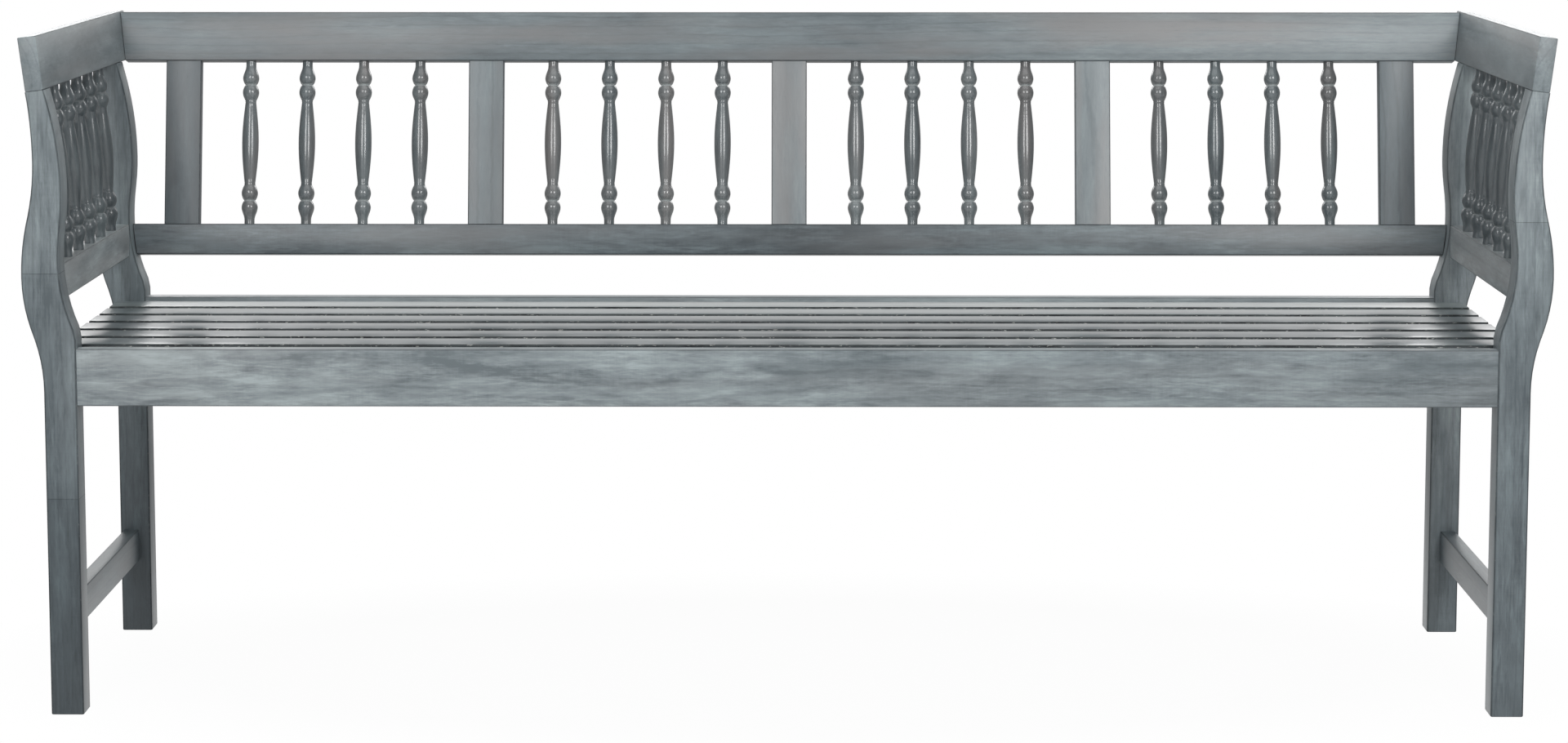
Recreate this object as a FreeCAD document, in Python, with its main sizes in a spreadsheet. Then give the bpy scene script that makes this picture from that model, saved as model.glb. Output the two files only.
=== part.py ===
import FreeCAD, Part
import math
import os

import Sketcher
from FreeCAD import Placement, Rotation, Vector

# A three-seat deacons bench in solid wood, in millimetres.
# X runs along the bench, Y from the front to the back, Z up.
# The origin lies on the floor, under the middle of the bench.

# Driving dimensions: alias, value, what it is.
DIMENSIONS = (
    # The whole bench
    ("overall_depth", 600, "front faces of the legs to the rear ends of the arms"),
    ("seat_height", 452, "top of the slats and of the apron"),
    ("row_distance", 492, "front faces of the front legs to those of the rear legs"),
    # Legs: a straight foot, then an S that bulges out and necks in below the arm
    ("leg_depth", 42, "from front to back"),
    ("leg_inner", 860.5, "middle of the bench to the inner side of the foot"),
    ("leg_outer", 900.5, "middle of the bench to the outer side of the foot"),
    ("bulge_start", 400, "where the outer side leaves the vertical"),
    ("bulge_outer", 925, "widest place, and half the overall width"),
    ("bulge_height", 540, "height of the widest place"),
    ("neck_outer", 908.5, "outer side at the neck"),
    ("neck_height", 679, "height of the outer neck"),
    ("shoulder_height", 470, "where the inner side breaks outwards"),
    ("bulge_inner", 879.7, "inner side at the bulge"),
    ("bulge_inner_height", 558, "height of the inner bulge"),
    ("neck_inner", 874, "inner side at the neck"),
    ("neck_inner_height", 640, "height of the inner neck"),
    ("top_inner", 892, "inner side at the top of the leg"),
    ("top_outer", 915.3, "outer side at the top of the leg"),
    ("shoulder_round", 12, "rounding of the inner shoulder"),
    ("leg_round", 2.5, "easing of the long edges"),
    ("foot_chamfer", 1.5, "chamfer round the underside of the foot"),
    # Arm rails: a tilted board on the legs, a level rail below it
    ("arm_foot", 903.7, "middle of the arm board's lower edge, along X"),
    ("arm_foot_height", 765, "height of that edge"),
    ("arm_tilt", 7, "degrees that the arm board leans outwards"),
    ("arm_thickness", 22, "arm board"),
    ("arm_board_height", 66, "arm board, lower edge to upper edge"),
    ("arm_rail_inner", 881, "inner side of the lower arm rail"),
    ("arm_rail_thickness", 20, "lower arm rail"),
    ("arm_rail_bottom", 508.5, "underside of the lower arm rail"),
    ("arm_rail_height", 43.5, "lower arm rail"),
    # Back panel, leaning back as one plane
    ("recline", 11.5, "degrees that the back leans"),
    ("back_y", 221, "middle of the lower back rail, along Y"),
    ("back_z", 528.5, "height of the middle of the lower back rail"),
    ("low_rail_height", 41, "lower back rail, along the lean"),
    ("low_rail_thickness", 18, "lower back rail"),
    ("back_rail_spacing", 273.5, "middle of the lower rail to middle of the top rail"),
    ("top_rail_height", 66, "top back rail, along the lean"),
    ("top_rail_thickness", 22, "top back rail"),
    ("top_rail_low_end", 892.1, "half length of the top rail at its lower edge"),
    ("top_rail_high_end", 900.1, "half length of the top rail at its upper edge"),
    ("stile_width", 47, "flat slats of the back"),
    ("stile_thickness", 18, "flat slats of the back"),
    ("stile_pitch", 407, "flat slat to flat slat"),
    ("spindle_pitch", 76, "spindle to spindle in a bay"),
    ("arm_spindle_pitch", 75, "spindle to spindle under an arm"),
    # Turned spindles: radii, and heights as parts of the clear length
    ("spindle_tenon", 5, "radius of the round tenons"),
    ("spindle_tenon_length", 11, "length of the round tenons"),
    ("spindle_end", 6.7, "radius of the plain ends"),
    ("spindle_bead", 10.8, "radius of the end beads"),
    ("spindle_groove", 7.9, "radius in the groove between the beads"),
    ("spindle_ball", 10.9, "radius of the inner beads"),
    ("spindle_waist", 7.1, "radius where the long swell starts"),
    ("spindle_swell", 11.1, "radius at mid length"),
    ("part_end", 0.026, "plain end, as a part of the clear length"),
    ("part_bead", 0.103, "widest place of the end bead"),
    ("part_groove", 0.145, "groove"),
    ("part_ball", 0.19, "widest place of the inner bead"),
    ("part_waist", 0.243, "start of the long swell"),
    # Seat
    ("apron_height", 70, "front apron and rear seat rail"),
    ("apron_thickness", 22, "front apron and rear seat rail"),
    ("apron_setback", 3, "front apron behind the legs' front faces"),
    ("rear_rail_setback", 2, "rear seat rail behind the rear legs' front faces"),
    ("rear_rail_rise", 2.5, "rear seat rail above the slats"),
    ("side_rail_inner", 876, "inner side of the side seat rails"),
    ("side_rail_thickness", 20, "side seat rails"),
    ("side_rail_height", 50, "side seat rails and seat bearers"),
    ("bearer_thickness", 30, "seat bearers"),
    ("bearer_pitch", 440, "seat bearer to seat bearer"),
    ("slat_half_length", 894, "middle of the bench to the ends of the slats"),
    ("slat_width", 60, "seat slats"),
    ("slat_thickness", 20, "seat slats"),
    ("slat_pitch", 72.2, "seat slat to seat slat"),
    ("first_slat", 47, "front faces of the legs to the first slat"),
    ("slat_round", 5, "rounding of the slats' upper edges"),
    # Stretchers between the feet
    ("stretcher_inner", 876, "inner side of the stretchers"),
    ("stretcher_thickness", 20, "stretchers"),
    ("stretcher_bottom", 96, "underside of the stretchers"),
    ("stretcher_height", 42, "stretchers"),
    # Joints
    ("tenon_thickness", 10, "tenons of the rails"),
    ("tenon_length", 18, "tenons of the rails"),
    ("stub_length", 10, "stub tenons of flat slats and bearers"),
    ("tenon_shoulder", 5, "board edge to tenon edge"),
    ("rail_tenon_height", 40, "tenons of the apron and the rear seat rail"),
    ("rail_tenon_lift", 8, "underside of those rails to their tenons"),
    ("back_tenon_end", 884.5, "half length of the lower back rail with its tenons"),
    ("back_tenon_root", 860, "where those tenons start, inside the rail"),
    ("shoulder_gap", 0.3, "lower back rail's shoulders to the legs"),
    ("lean_gap", 0.4, "square shoulders of the leaning arm spindles to their rails"),
    ("glue_gap", 0.2, "mortise wider than its tenon, each side"),
    ("end_gap", 1, "hole deeper than the dowel, tenon or screw in it"),
    ("cut_past", 5, "how far a cut or a tenon runs past the face that it starts from"),
    ("dowel_radius", 4, "dowels"),
    ("dowel_length", 40, "dowels"),
    ("dowel_offset", 11, "leg dowels from the middle of a leg, along Y"),
    ("rail_dowel_offset", 18, "top rail's dowels from the middle of its height"),
    ("rail_dowel_start", 872, "middle of the bench to the inner ends of those dowels"),
    ("board_round", 1.5, "easing of the boards' long edges"),
    # Fasteners
    ("shank_play", 0.3, "hole wider than a bolt or screw, in radius"),
    ("head_play", 0.5, "recess wider than a head, in radius"),
    ("tight_play", 0.05, "hole wider than a dowel or a thread, in radius"),
    ("nut_setback", 8, "middle of a barrel nut to the tip of its bolt"),
    ("bolt_height", 440, "frame bolts above the floor"),
    ("bolt_radius", 3, "shank of the frame bolts"),
    ("bolt_length", 66, "frame bolts, under the head"),
    ("bolt_head_radius", 6.5, "head of the frame bolts"),
    ("bolt_head_height", 4, "head of the frame bolts"),
    ("bolt_sink", 9, "depth of the recess for the head"),
    ("nut_radius", 5, "barrel nuts"),
    ("nut_length", 14, "barrel nuts"),
    ("screw_radius", 2.2, "shank of the slat screws"),
    ("screw_length", 42, "slat screws, with the head"),
    ("screw_head_radius", 4.2, "head of the slat screws"),
    ("screw_head_height", 3, "head of the slat screws"),
    ("screw_sink", 20, "depth of the recess for the head"),
)

BACK_STILES = 5
SPINDLES_PER_BAY = 4
ARM_SPINDLES = 5
SEAT_SLATS = 6
BEARERS = 3
SIDES = {"right": 1, "left": -1}

# Limits of the tests on points and edges; the top of a leg rises less than the last one
SAME_PLACE = 1e-3
SAME_POINT = 1e-6
LONG_EDGE = 100
LEG_TOP_RISE = 4

doc = FreeCAD.newDocument("deacons_bench")
sheet = doc.addObject("Spreadsheet::Sheet", "sizes")
for row, (alias, value, meaning) in enumerate(DIMENSIONS, start=1):
    sheet.set(f"A{row}", str(value))
    sheet.setAlias(f"A{row}", alias)
    sheet.set(f"B{row}", meaning)
doc.recompute()

nodes = []


# Helpers

def value_of(expression):
    """The number that an expression on the sheet's aliases gives."""
    value = sheet.evalExpression(expression)
    return float(getattr(value, "Value", value))


def bind(thing, expressions):
    """Bind properties of an object to expressions on the sheet."""
    for path, expression in expressions.items():
        thing.setExpression(path, expression)


def place(thing, x, y, z, rotation=None):
    """Turn an object, then bind its position."""
    thing.Placement = Placement(Vector(), rotation or Rotation())
    bind(thing, {
        "Placement.Base.x": x,
        "Placement.Base.y": y,
        "Placement.Base.z": z,
    })


def new_node(kind, label):
    """A sub-part of the bench, whose label names its file."""
    node = doc.addObject(kind, label)
    node.Label = label
    nodes.append(node)
    return node


def origin_plane(body, role):
    """One of a body's own origin planes."""
    return next(f for f in body.Origin.OriginFeatures if f.Role == role)


def block(body, kind, name, size, corner, rotation=None):
    """Add or cut a box, from its sizes and its lowest corner."""
    box = body.newObject(f"PartDesign::{kind}Box", name)
    bind(box, {"Length": size[0], "Width": size[1], "Height": size[2]})
    place(box, *corner, rotation)
    return box


def bar(body, kind, name, radius, length, start, rotation=None):
    """Add or cut a cylinder, from its start along its axis."""
    cylinder = body.newObject(f"PartDesign::{kind}Cylinder", name)
    bind(cylinder, {"Radius": radius, "Height": length})
    place(cylinder, *start, rotation)
    return cylinder


def outline(body, name, role, corners, arcs=None):
    """A closed sketch through corners, whose places are bound to the sheet.

    arcs says, for the number of an edge, where its arc is upright: at the
    edge's "start" or "end". Its radius follows from that and is bound too.
    """
    arcs = arcs or {}
    sketch = body.newObject("Sketcher::SketchObject", name)
    sketch.AttachmentSupport = [(origin_plane(body, role), "")]
    sketch.MapMode = "FlatFace"
    points = [Vector(value_of(x), value_of(y), 0) for x, y in corners]
    count = len(points)
    starts = []
    for number, point in enumerate(points):
        following = points[(number + 1) % count]
        if number not in arcs:
            sketch.addGeometry(Part.LineSegment(point, following))
            starts.append(1)
            continue
        upright_at_start = arcs[number] == "start"
        upright, other = (point, following) if upright_at_start else (following, point)
        arc = Part.Arc(point, arc_middle(upright, other), following)
        sketch.addGeometry(arc)
        starts.append(1 if sketch.getPoint(number, 1).distanceToPoint(point) < SAME_POINT else 2)
    for number, (x, y) in enumerate(corners):
        following = (number + 1) % count
        end = 3 - starts[number]
        sketch.addConstraint(Sketcher.Constraint(
            "Coincident", number, end, following, starts[following]))
        for axis, expression in (("DistanceX", x), ("DistanceY", y)):
            if value_of(expression) == 0:
                where = (number, starts[number], -1 if axis == "DistanceY" else -2)
                sketch.addConstraint(Sketcher.Constraint("PointOnObject", *where))
                continue
            index = sketch.addConstraint(Sketcher.Constraint(
                axis, -1, 1, number, starts[number], value_of(expression)))
            sketch.setExpression(f"Constraints[{index}]", expression)
        if number in arcs:
            (x0, y0), (x1, y1) = corners[number], corners[following]
            across, along = f"abs(({x1}) - ({x0}))", f"(({y1}) - ({y0}))"
            radius = f"({across} ^ 2 + {along} ^ 2) / (2 * {across})"
            index = sketch.addConstraint(Sketcher.Constraint(
                "Radius", number, sketch.Geometry[number].Radius))
            sketch.setExpression(f"Constraints[{index}]", radius)
    return sketch


def arc_middle(upright, other):
    """The middle of an arc that is upright at one of its two ends."""
    across = other.x - upright.x
    along = other.y - upright.y
    radius = (across ** 2 + along ** 2) / (2 * across)
    half_turn = math.asin(along / radius) / 2
    return Vector(upright.x + radius * (1 - math.cos(half_turn)),
                  upright.y + radius * math.sin(half_turn), 0)


def pad(body, sketch, thickness):
    """Pad a sketch by half a thickness to each side."""
    feature = body.newObject("PartDesign::Pad", "Pad")
    feature.Profile = sketch
    feature.SideType = "Symmetric"
    feature.setExpression("Length", thickness)
    return feature


def ease(body, base, kind, size, wanted):
    """Round or chamfer the edges of a feature that a test picks."""
    base.recompute(True)
    edges = [f"Edge{number}" for number, edge in enumerate(base.Shape.Edges, start=1)
             if wanted(edge)]
    feature = body.newObject(f"PartDesign::{kind}", kind)
    feature.Base = (base, edges)
    feature.setExpression("Radius" if kind == "Fillet" else "Size", size)
    return feature


def runs_along(axis, length):
    """A test for straight edges along an axis, at least so long."""
    def wanted(edge):
        direction = edge.Vertexes[-1].Point - edge.Vertexes[0].Point
        return abs(direction.dot(axis)) > length
    return wanted


ALONG_X = Vector(1, 0, 0)
ALONG_Y = Vector(0, 1, 0)
ALONG_Z = Vector(0, 0, 1)
TOWARDS_X = Rotation(ALONG_Y, 90)
TOWARDS_Y = Rotation(ALONG_X, -90)
GAP = "sizes.glue_gap"
FRONT = "-sizes.overall_depth / 2"
FRONT_LEG_Y = f"{FRONT} + sizes.leg_depth / 2"
REAR_LEG_Y = f"{FRONT} + sizes.row_distance + sizes.leg_depth / 2"
LEG_ROWS = {"front": FRONT_LEG_Y, "rear": REAR_LEG_Y}
APRON_Y = f"{FRONT} + sizes.apron_setback + sizes.apron_thickness / 2"
REAR_RAIL_Y = (f"{FRONT} + sizes.row_distance + sizes.rear_rail_setback"
               " + sizes.apron_thickness / 2")
SPAN = "(sizes.row_distance - sizes.leg_depth)"
MIDDLE_Y = f"{FRONT} + (sizes.row_distance + sizes.leg_depth) / 2"
BOARD_Z = "(sizes.seat_height - sizes.slat_thickness)"
PAST = "sizes.cut_past"
NUT_X = "(sizes.leg_outer - sizes.bolt_sink - sizes.bolt_length + sizes.nut_setback)"


def side_turn(side):
    """Pieces of the left end are those of the right end, turned half round."""
    return Rotation(ALONG_Z, 0 if side > 0 else 180)


def inner_face_x(height):
    """Inner side of a leg at a height between its shoulder and its bulge."""
    across = "(sizes.bulge_inner - sizes.leg_inner)"
    along = "(sizes.bulge_inner_height - sizes.shoulder_height)"
    radius = f"(({across} ^ 2 + {along} ^ 2) / (2 * {across}))"
    below = f"(sizes.bulge_inner_height - ({height}))"
    return f"(sizes.bulge_inner - {radius} + sqrt({radius} ^ 2 - {below} ^ 2))"


# Legs

def midway(first, second):
    """Halfway between two corners."""
    return tuple(f"(({a}) + ({b})) / 2" for a, b in zip(first, second))


def leg(label, side, row):
    """A sawn leg with its S curve, its mortises and its bolt and dowel holes."""
    body = new_node("PartDesign::Body", label)
    top_drop = "(sizes.top_outer - sizes.arm_foot) * tan(sizes.arm_tilt * 1deg)"
    top_rise = "(sizes.arm_foot - sizes.top_inner) * tan(sizes.arm_tilt * 1deg)"
    bulge = ("sizes.bulge_outer", "sizes.bulge_height")
    neck = ("sizes.neck_outer", "sizes.neck_height")
    start = ("sizes.leg_outer", "sizes.bulge_start")
    inner_neck = ("sizes.neck_inner", "sizes.neck_inner_height")
    inner_bulge = ("sizes.bulge_inner", "sizes.bulge_inner_height")
    corners = [
        ("sizes.leg_outer", "0"),
        start,
        midway(start, bulge),
        bulge,
        midway(bulge, neck),
        neck,
        ("sizes.top_outer", f"sizes.arm_foot_height - {top_drop}"),
        ("sizes.top_inner", f"sizes.arm_foot_height + {top_rise}"),
        inner_neck,
        midway(inner_neck, inner_bulge),
        inner_bulge,
        ("sizes.leg_inner", "sizes.shoulder_height"),
        ("sizes.leg_inner", "0"),
    ]
    arcs = {1: "start", 2: "end", 3: "start", 4: "end", 5: "start",
            7: "end", 8: "start", 9: "end", 10: "start"}
    sketch = outline(body, "Outline", "XZ_Plane", corners, arcs)
    sawn = pad(body, sketch, "sizes.leg_depth")
    half_depth = value_of("sizes.leg_depth / 2")
    shoulder_x = value_of("sizes.leg_inner")
    shoulder_z = value_of("sizes.shoulder_height")

    def at_shoulder(edge):
        return all(abs(vertex.Point.z - shoulder_z) < SAME_PLACE
                   and abs(vertex.Point.x - shoulder_x) < SAME_PLACE for vertex in edge.Vertexes)

    def on_outline(edge):
        ends = [vertex.Point for vertex in edge.Vertexes]
        on_side = all(abs(abs(point.y) - half_depth) < SAME_PLACE for point in ends)
        return on_side and abs(ends[0].z - ends[-1].z) > LEG_TOP_RISE

    def under_foot(edge):
        return all(abs(vertex.Point.z) < SAME_PLACE for vertex in edge.Vertexes)

    blank = ease(body, sawn, "Fillet", "sizes.shoulder_round", at_shoulder)
    rounded = ease(body, blank, "Fillet", "sizes.leg_round", on_outline)
    ease(body, rounded, "Chamfer", "sizes.foot_chamfer", under_foot)
    inwards = side if row == "front" else -side
    mortise_from_rail(body, "SideRailMortise", inwards, "sizes.side_rail_inner",
                      "sizes.side_rail_thickness", "sizes.side_rail_height",
                      f"{BOARD_Z} - sizes.side_rail_height")
    mortise_from_rail(body, "StretcherMortise", inwards, "sizes.stretcher_inner",
                      "sizes.stretcher_thickness", "sizes.stretcher_height",
                      "sizes.stretcher_bottom")
    mortise_from_rail(body, "ArmRailMortise", inwards, "sizes.arm_rail_inner",
                      "sizes.arm_rail_thickness", "sizes.arm_rail_height",
                      "sizes.arm_rail_bottom")
    rail_y = f"{side} * ({APRON_Y if row == 'front' else REAR_RAIL_Y} - ({LEG_ROWS[row]}))"
    rail_top = "sizes.seat_height" if row == "front" else "sizes.seat_height + sizes.rear_rail_rise"
    block(body, "Subtractive", "RailMortise",
          (f"{PAST} + sizes.tenon_length + {GAP}",
           f"sizes.tenon_thickness + 2 * {GAP}",
           f"sizes.rail_tenon_height + 2 * {GAP}"),
          (f"sizes.leg_inner - {PAST}",
           f"{rail_y} - sizes.tenon_thickness / 2 - {GAP}",
           f"{rail_top} - sizes.apron_height + sizes.rail_tenon_lift - {GAP}"))
    bar(body, "Subtractive", "BoltHole", "sizes.bolt_radius + sizes.shank_play",
        f"sizes.leg_outer - sizes.leg_inner + 2 * {PAST}",
        (f"sizes.leg_inner - {PAST}", rail_y, "sizes.bolt_height"), TOWARDS_X)
    bar(body, "Subtractive", "BoltRecess", "sizes.bolt_head_radius + sizes.head_play",
        "sizes.bulge_outer - sizes.leg_outer + sizes.bolt_sink",
        ("sizes.leg_outer - sizes.bolt_sink", rail_y, "sizes.bolt_height"), TOWARDS_X)
    depth = "(sizes.dowel_length / 2 + sizes.end_gap)"
    for number, offset in enumerate((-1, 1)):
        bar(body, "Subtractive", f"DowelHole{number}", "sizes.dowel_radius + sizes.tight_play",
            "sizes.dowel_length",
            (f"sizes.arm_foot - {depth} * sin(sizes.arm_tilt * 1deg)",
             f"{offset} * sizes.dowel_offset",
             f"sizes.arm_foot_height - {depth} * cos(sizes.arm_tilt * 1deg)"),
            Rotation(ALONG_Y, value_of("sizes.arm_tilt")))
    if row == "rear":
        back_rail_mortise(body, side)
    place(body, "0", LEG_ROWS[row], "0", side_turn(side))


def mortise_from_rail(body, name, inwards, inner, thickness, height, bottom):
    """A mortise in a leg for a rail that runs from front to back."""
    depth = f"({PAST} + sizes.tenon_length + {GAP})"
    low_y = (f"sizes.leg_depth / 2 + {PAST} - {depth}" if inwards > 0
             else f"-sizes.leg_depth / 2 - {PAST}")
    block(body, "Subtractive", name,
          (f"sizes.tenon_thickness + 2 * {GAP}", depth,
           f"{height} - 2 * sizes.tenon_shoulder + 2 * {GAP}"),
          (f"{inner} + ({thickness}) / 2 - sizes.tenon_thickness / 2 - {GAP}",
           low_y,
           f"{bottom} + sizes.tenon_shoulder - {GAP}"))


def back_rail_mortise(body, side):
    """The leaning mortise of the lower back rail."""
    turn = Rotation(ALONG_X, -side * value_of("sizes.recline"))
    low = f"(sizes.low_rail_height / 2 - sizes.tenon_shoulder + {GAP})"
    near = f"(sizes.tenon_thickness / 2 + {GAP})"
    lean = "sizes.recline * 1deg"
    centre_y = f"{side} * (sizes.back_y - ({REAR_LEG_Y}))"
    block(body, "Subtractive", "BackRailMortise",
          (f"sizes.back_tenon_end - sizes.back_tenon_root + {GAP}", f"2 * {near}",
           f"2 * {low}"),
          ("sizes.back_tenon_root",
           f"{centre_y} - {near} * cos({lean}) - {side} * {low} * sin({lean})",
           f"sizes.back_z + {side} * {near} * sin({lean}) - {low} * cos({lean})"),
          turn)


for side_name, side in SIDES.items():
    for row in LEG_ROWS:
        leg(f"{row}_{side_name}_leg", side, row)


# Rails that run from front to back: stretchers, side seat rails, lower arm rails

def end_rail(label, side, inner, thickness, height, bottom):
    """A board between a front and a rear leg, with a tenon at each end."""
    body = new_node("PartDesign::Body", label)
    board = block(body, "Additive", "Board", (thickness, SPAN, height),
                  (inner, f"-{SPAN} / 2", bottom))
    ease(body, board, "Fillet", "sizes.board_round", runs_along(ALONG_Y, LONG_EDGE))
    for number, low_y in enumerate((f"-{SPAN} / 2 - sizes.tenon_length",
                                    f"{SPAN} / 2 - {PAST}")):
        block(body, "Additive", f"Tenon{number}",
              ("sizes.tenon_thickness", f"sizes.tenon_length + {PAST}",
               f"{height} - 2 * sizes.tenon_shoulder"),
              (f"{inner} + ({thickness}) / 2 - sizes.tenon_thickness / 2", low_y,
               f"{bottom} + sizes.tenon_shoulder"))
    place(body, "0", MIDDLE_Y, "0", side_turn(side))
    return body


def screw_hole(body, number, x, y, top):
    """A recess for the head and a hole for the shank, up from a board's underside."""
    underside = f"({top} - sizes.side_rail_height)"
    bar(body, "Subtractive", f"ScrewRecess{number}", "sizes.screw_head_radius + sizes.head_play",
        f"sizes.screw_sink + {PAST}", (x, y, f"{underside} - {PAST}"))
    bar(body, "Subtractive", f"ScrewHole{number}", "sizes.screw_radius + sizes.shank_play",
        "sizes.side_rail_height", (x, y, underside))


def slat_y(number):
    """Middle of a seat slat, along Y."""
    return f"({FRONT} + sizes.first_slat + sizes.slat_width / 2 + {number} * sizes.slat_pitch)"


ARM_SPINDLE_X = "(sizes.arm_rail_inner + sizes.arm_rail_thickness / 2)"
ARM_RAIL_TOP = "(sizes.arm_rail_bottom + sizes.arm_rail_height)"
ARM_RUN = f"(sizes.arm_foot - {ARM_SPINDLE_X})"
ARM_RISE = f"(sizes.arm_foot_height - {ARM_RAIL_TOP})"
ARM_CLEAR = f"sqrt({ARM_RISE} ^ 2 + {ARM_RUN} ^ 2)"
ARM_SPINDLE_LEAN = math.degrees(math.atan(value_of(f"{ARM_RUN} / {ARM_RISE}")))


def arm_spindle_y(number):
    """Middle of an arm spindle, from the middle of the clear span."""
    return f"{number - (ARM_SPINDLES - 1) / 2} * sizes.arm_spindle_pitch"


for side_name, side in SIDES.items():
    end_rail(f"{side_name}_stretcher", side, "sizes.stretcher_inner",
             "sizes.stretcher_thickness", "sizes.stretcher_height", "sizes.stretcher_bottom")
    seat_side = end_rail(f"{side_name}_seat_rail", side, "sizes.side_rail_inner",
                         "sizes.side_rail_thickness", "sizes.side_rail_height",
                         f"{BOARD_Z} - sizes.side_rail_height")
    for number in range(SEAT_SLATS):
        screw_hole(seat_side, number, "sizes.side_rail_inner + sizes.side_rail_thickness / 2",
                   f"{side} * ({slat_y(number)} - ({MIDDLE_Y}))", BOARD_Z)
    arm_rail = end_rail(f"{side_name}_arm_rail", side, "sizes.arm_rail_inner",
                        "sizes.arm_rail_thickness", "sizes.arm_rail_height",
                        "sizes.arm_rail_bottom")
    depth = "(sizes.spindle_tenon_length + sizes.end_gap)"
    for number in range(ARM_SPINDLES):
        bar(arm_rail, "Subtractive", f"SpindleHole{number}", f"sizes.spindle_tenon + {GAP}",
            f"{depth} + {PAST}",
            (f"{ARM_SPINDLE_X} - {depth} * {ARM_RUN} / {ARM_CLEAR}",
             arm_spindle_y(number),
             f"{ARM_RAIL_TOP} - {depth} * {ARM_RISE} / {ARM_CLEAR}"),
            Rotation(ALONG_Y, ARM_SPINDLE_LEAN))


# Arm boards on top of the legs

def rail_dowel_up(offset):
    """Height of a top rail's dowel, along the lean of the back."""
    return f"(sizes.back_rail_spacing + {offset} * sizes.rail_dowel_offset)"


def rail_dowel_place(offset):
    """Y and Z of a top rail's dowel."""
    up = rail_dowel_up(offset)
    return (f"(sizes.back_y + {up} * sin(sizes.recline * 1deg))",
            f"(sizes.back_z + {up} * cos(sizes.recline * 1deg))")


def arm_board(label, side):
    """A tilted board with holes for the spindles and the dowels."""
    body = new_node("PartDesign::Body", label)
    board = block(body, "Additive", "Board",
                  ("sizes.arm_thickness", "sizes.overall_depth", "sizes.arm_board_height"),
                  ("-sizes.arm_thickness / 2", FRONT, "0"))
    ease(body, board, "Fillet", "sizes.board_round", runs_along(ALONG_Y, LONG_EDGE))
    tilt = value_of("sizes.arm_tilt")
    lean = ARM_SPINDLE_LEAN - tilt
    aside = math.tan(math.radians(lean))
    for number in range(ARM_SPINDLES):
        bar(body, "Subtractive", f"SpindleHole{number}", f"sizes.spindle_tenon + {GAP}",
            f"sizes.spindle_tenon_length + sizes.end_gap + {PAST}",
            (f"-{PAST} * ({aside})", f"{side} * ({MIDDLE_Y}) + {arm_spindle_y(number)}",
             f"-{PAST}"), Rotation(ALONG_Y, lean))
    for number, (leg_y, offset) in enumerate(
            (y, offset) for y in LEG_ROWS.values() for offset in (-1, 1)):
        bar(body, "Subtractive", f"DowelHole{number}", "sizes.dowel_radius + sizes.tight_play",
            f"sizes.dowel_length / 2 + sizes.end_gap + {PAST}",
            ("0", f"{side} * ({leg_y}) + {offset} * sizes.dowel_offset", f"-{PAST}"))
    across = f"(sizes.rail_dowel_start + {PAST} - sizes.arm_foot)"
    for number, offset in enumerate((-1, 1)):
        y, z = rail_dowel_place(offset)
        rise = f"({z} - sizes.arm_foot_height)"
        bar(body, "Subtractive", f"RailDowelHole{number}", "sizes.dowel_radius + sizes.tight_play",
            f"sizes.dowel_length - {PAST} + {GAP}",
            (f"{across} * cos(sizes.arm_tilt * 1deg) - {rise} * sin(sizes.arm_tilt * 1deg)",
             f"{side} * {y}",
             f"{across} * sin(sizes.arm_tilt * 1deg) + {rise} * cos(sizes.arm_tilt * 1deg)"),
            Rotation(ALONG_Y, 90 - tilt))
    place(body, f"{side} * sizes.arm_foot", "0", "sizes.arm_foot_height",
          side_turn(side) * Rotation(ALONG_Y, tilt))


for side_name, side in SIDES.items():
    arm_board(f"{side_name}_arm_board", side)


# Turned spindles

def spindle(label, length):
    """A turned spindle with round tenons, from its lower shoulder upwards."""
    body = new_node("PartDesign::Body", label)

    def height(part):
        return f"({length}) * ({part})"

    lower = [
        ("sizes.spindle_end", "sizes.part_end"),
        ("(sizes.spindle_end + sizes.spindle_bead) / 2",
         "(sizes.part_end + sizes.part_bead) / 2"),
        ("sizes.spindle_bead", "sizes.part_bead"),
        ("sizes.spindle_groove", "sizes.part_groove"),
        ("sizes.spindle_ball", "sizes.part_ball"),
        ("sizes.spindle_waist", "sizes.part_waist"),
    ]
    upper = [(radius, f"1 - ({part})") for radius, part in reversed(lower)]
    turned = [(radius, height(part)) for radius, part in
              lower + [("sizes.spindle_swell", "0.5")] + upper]
    corners = [
        ("0", "-sizes.spindle_tenon_length"),
        ("sizes.spindle_tenon", "-sizes.spindle_tenon_length"),
        ("sizes.spindle_tenon", "0"),
        ("sizes.spindle_end", "0"),
        *turned,
        ("sizes.spindle_end", length),
        ("sizes.spindle_tenon", length),
        ("sizes.spindle_tenon", f"{length} + sizes.spindle_tenon_length"),
        ("0", f"{length} + sizes.spindle_tenon_length"),
    ]
    arcs = {4: "start", 5: "end", 6: "start", 7: "end", 8: "start", 9: "end",
            10: "start", 11: "end", 12: "start", 13: "end", 14: "start", 15: "end"}
    sketch = outline(body, "Turning", "XZ_Plane", corners, arcs)
    turn = body.newObject("PartDesign::Revolution", "Turn")
    turn.Profile = sketch
    turn.ReferenceAxis = (sketch, ["V_Axis"])
    turn.Angle = 360
    return body


for side_name, side in SIDES.items():
    for number in range(ARM_SPINDLES):
        piece = spindle(f"{side_name}_arm_spindle_{number + 1}",
                        f"{ARM_CLEAR} - 2 * sizes.lean_gap")
        place(piece, f"{side} * {ARM_SPINDLE_X}",
              f"{MIDDLE_Y} + {arm_spindle_y(number)}",
              f"{ARM_RAIL_TOP} + sizes.lean_gap",
              side_turn(side) * Rotation(ALONG_Y, ARM_SPINDLE_LEAN))


# Back panel, drawn upright about the lower rail and then leaned back

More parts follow.
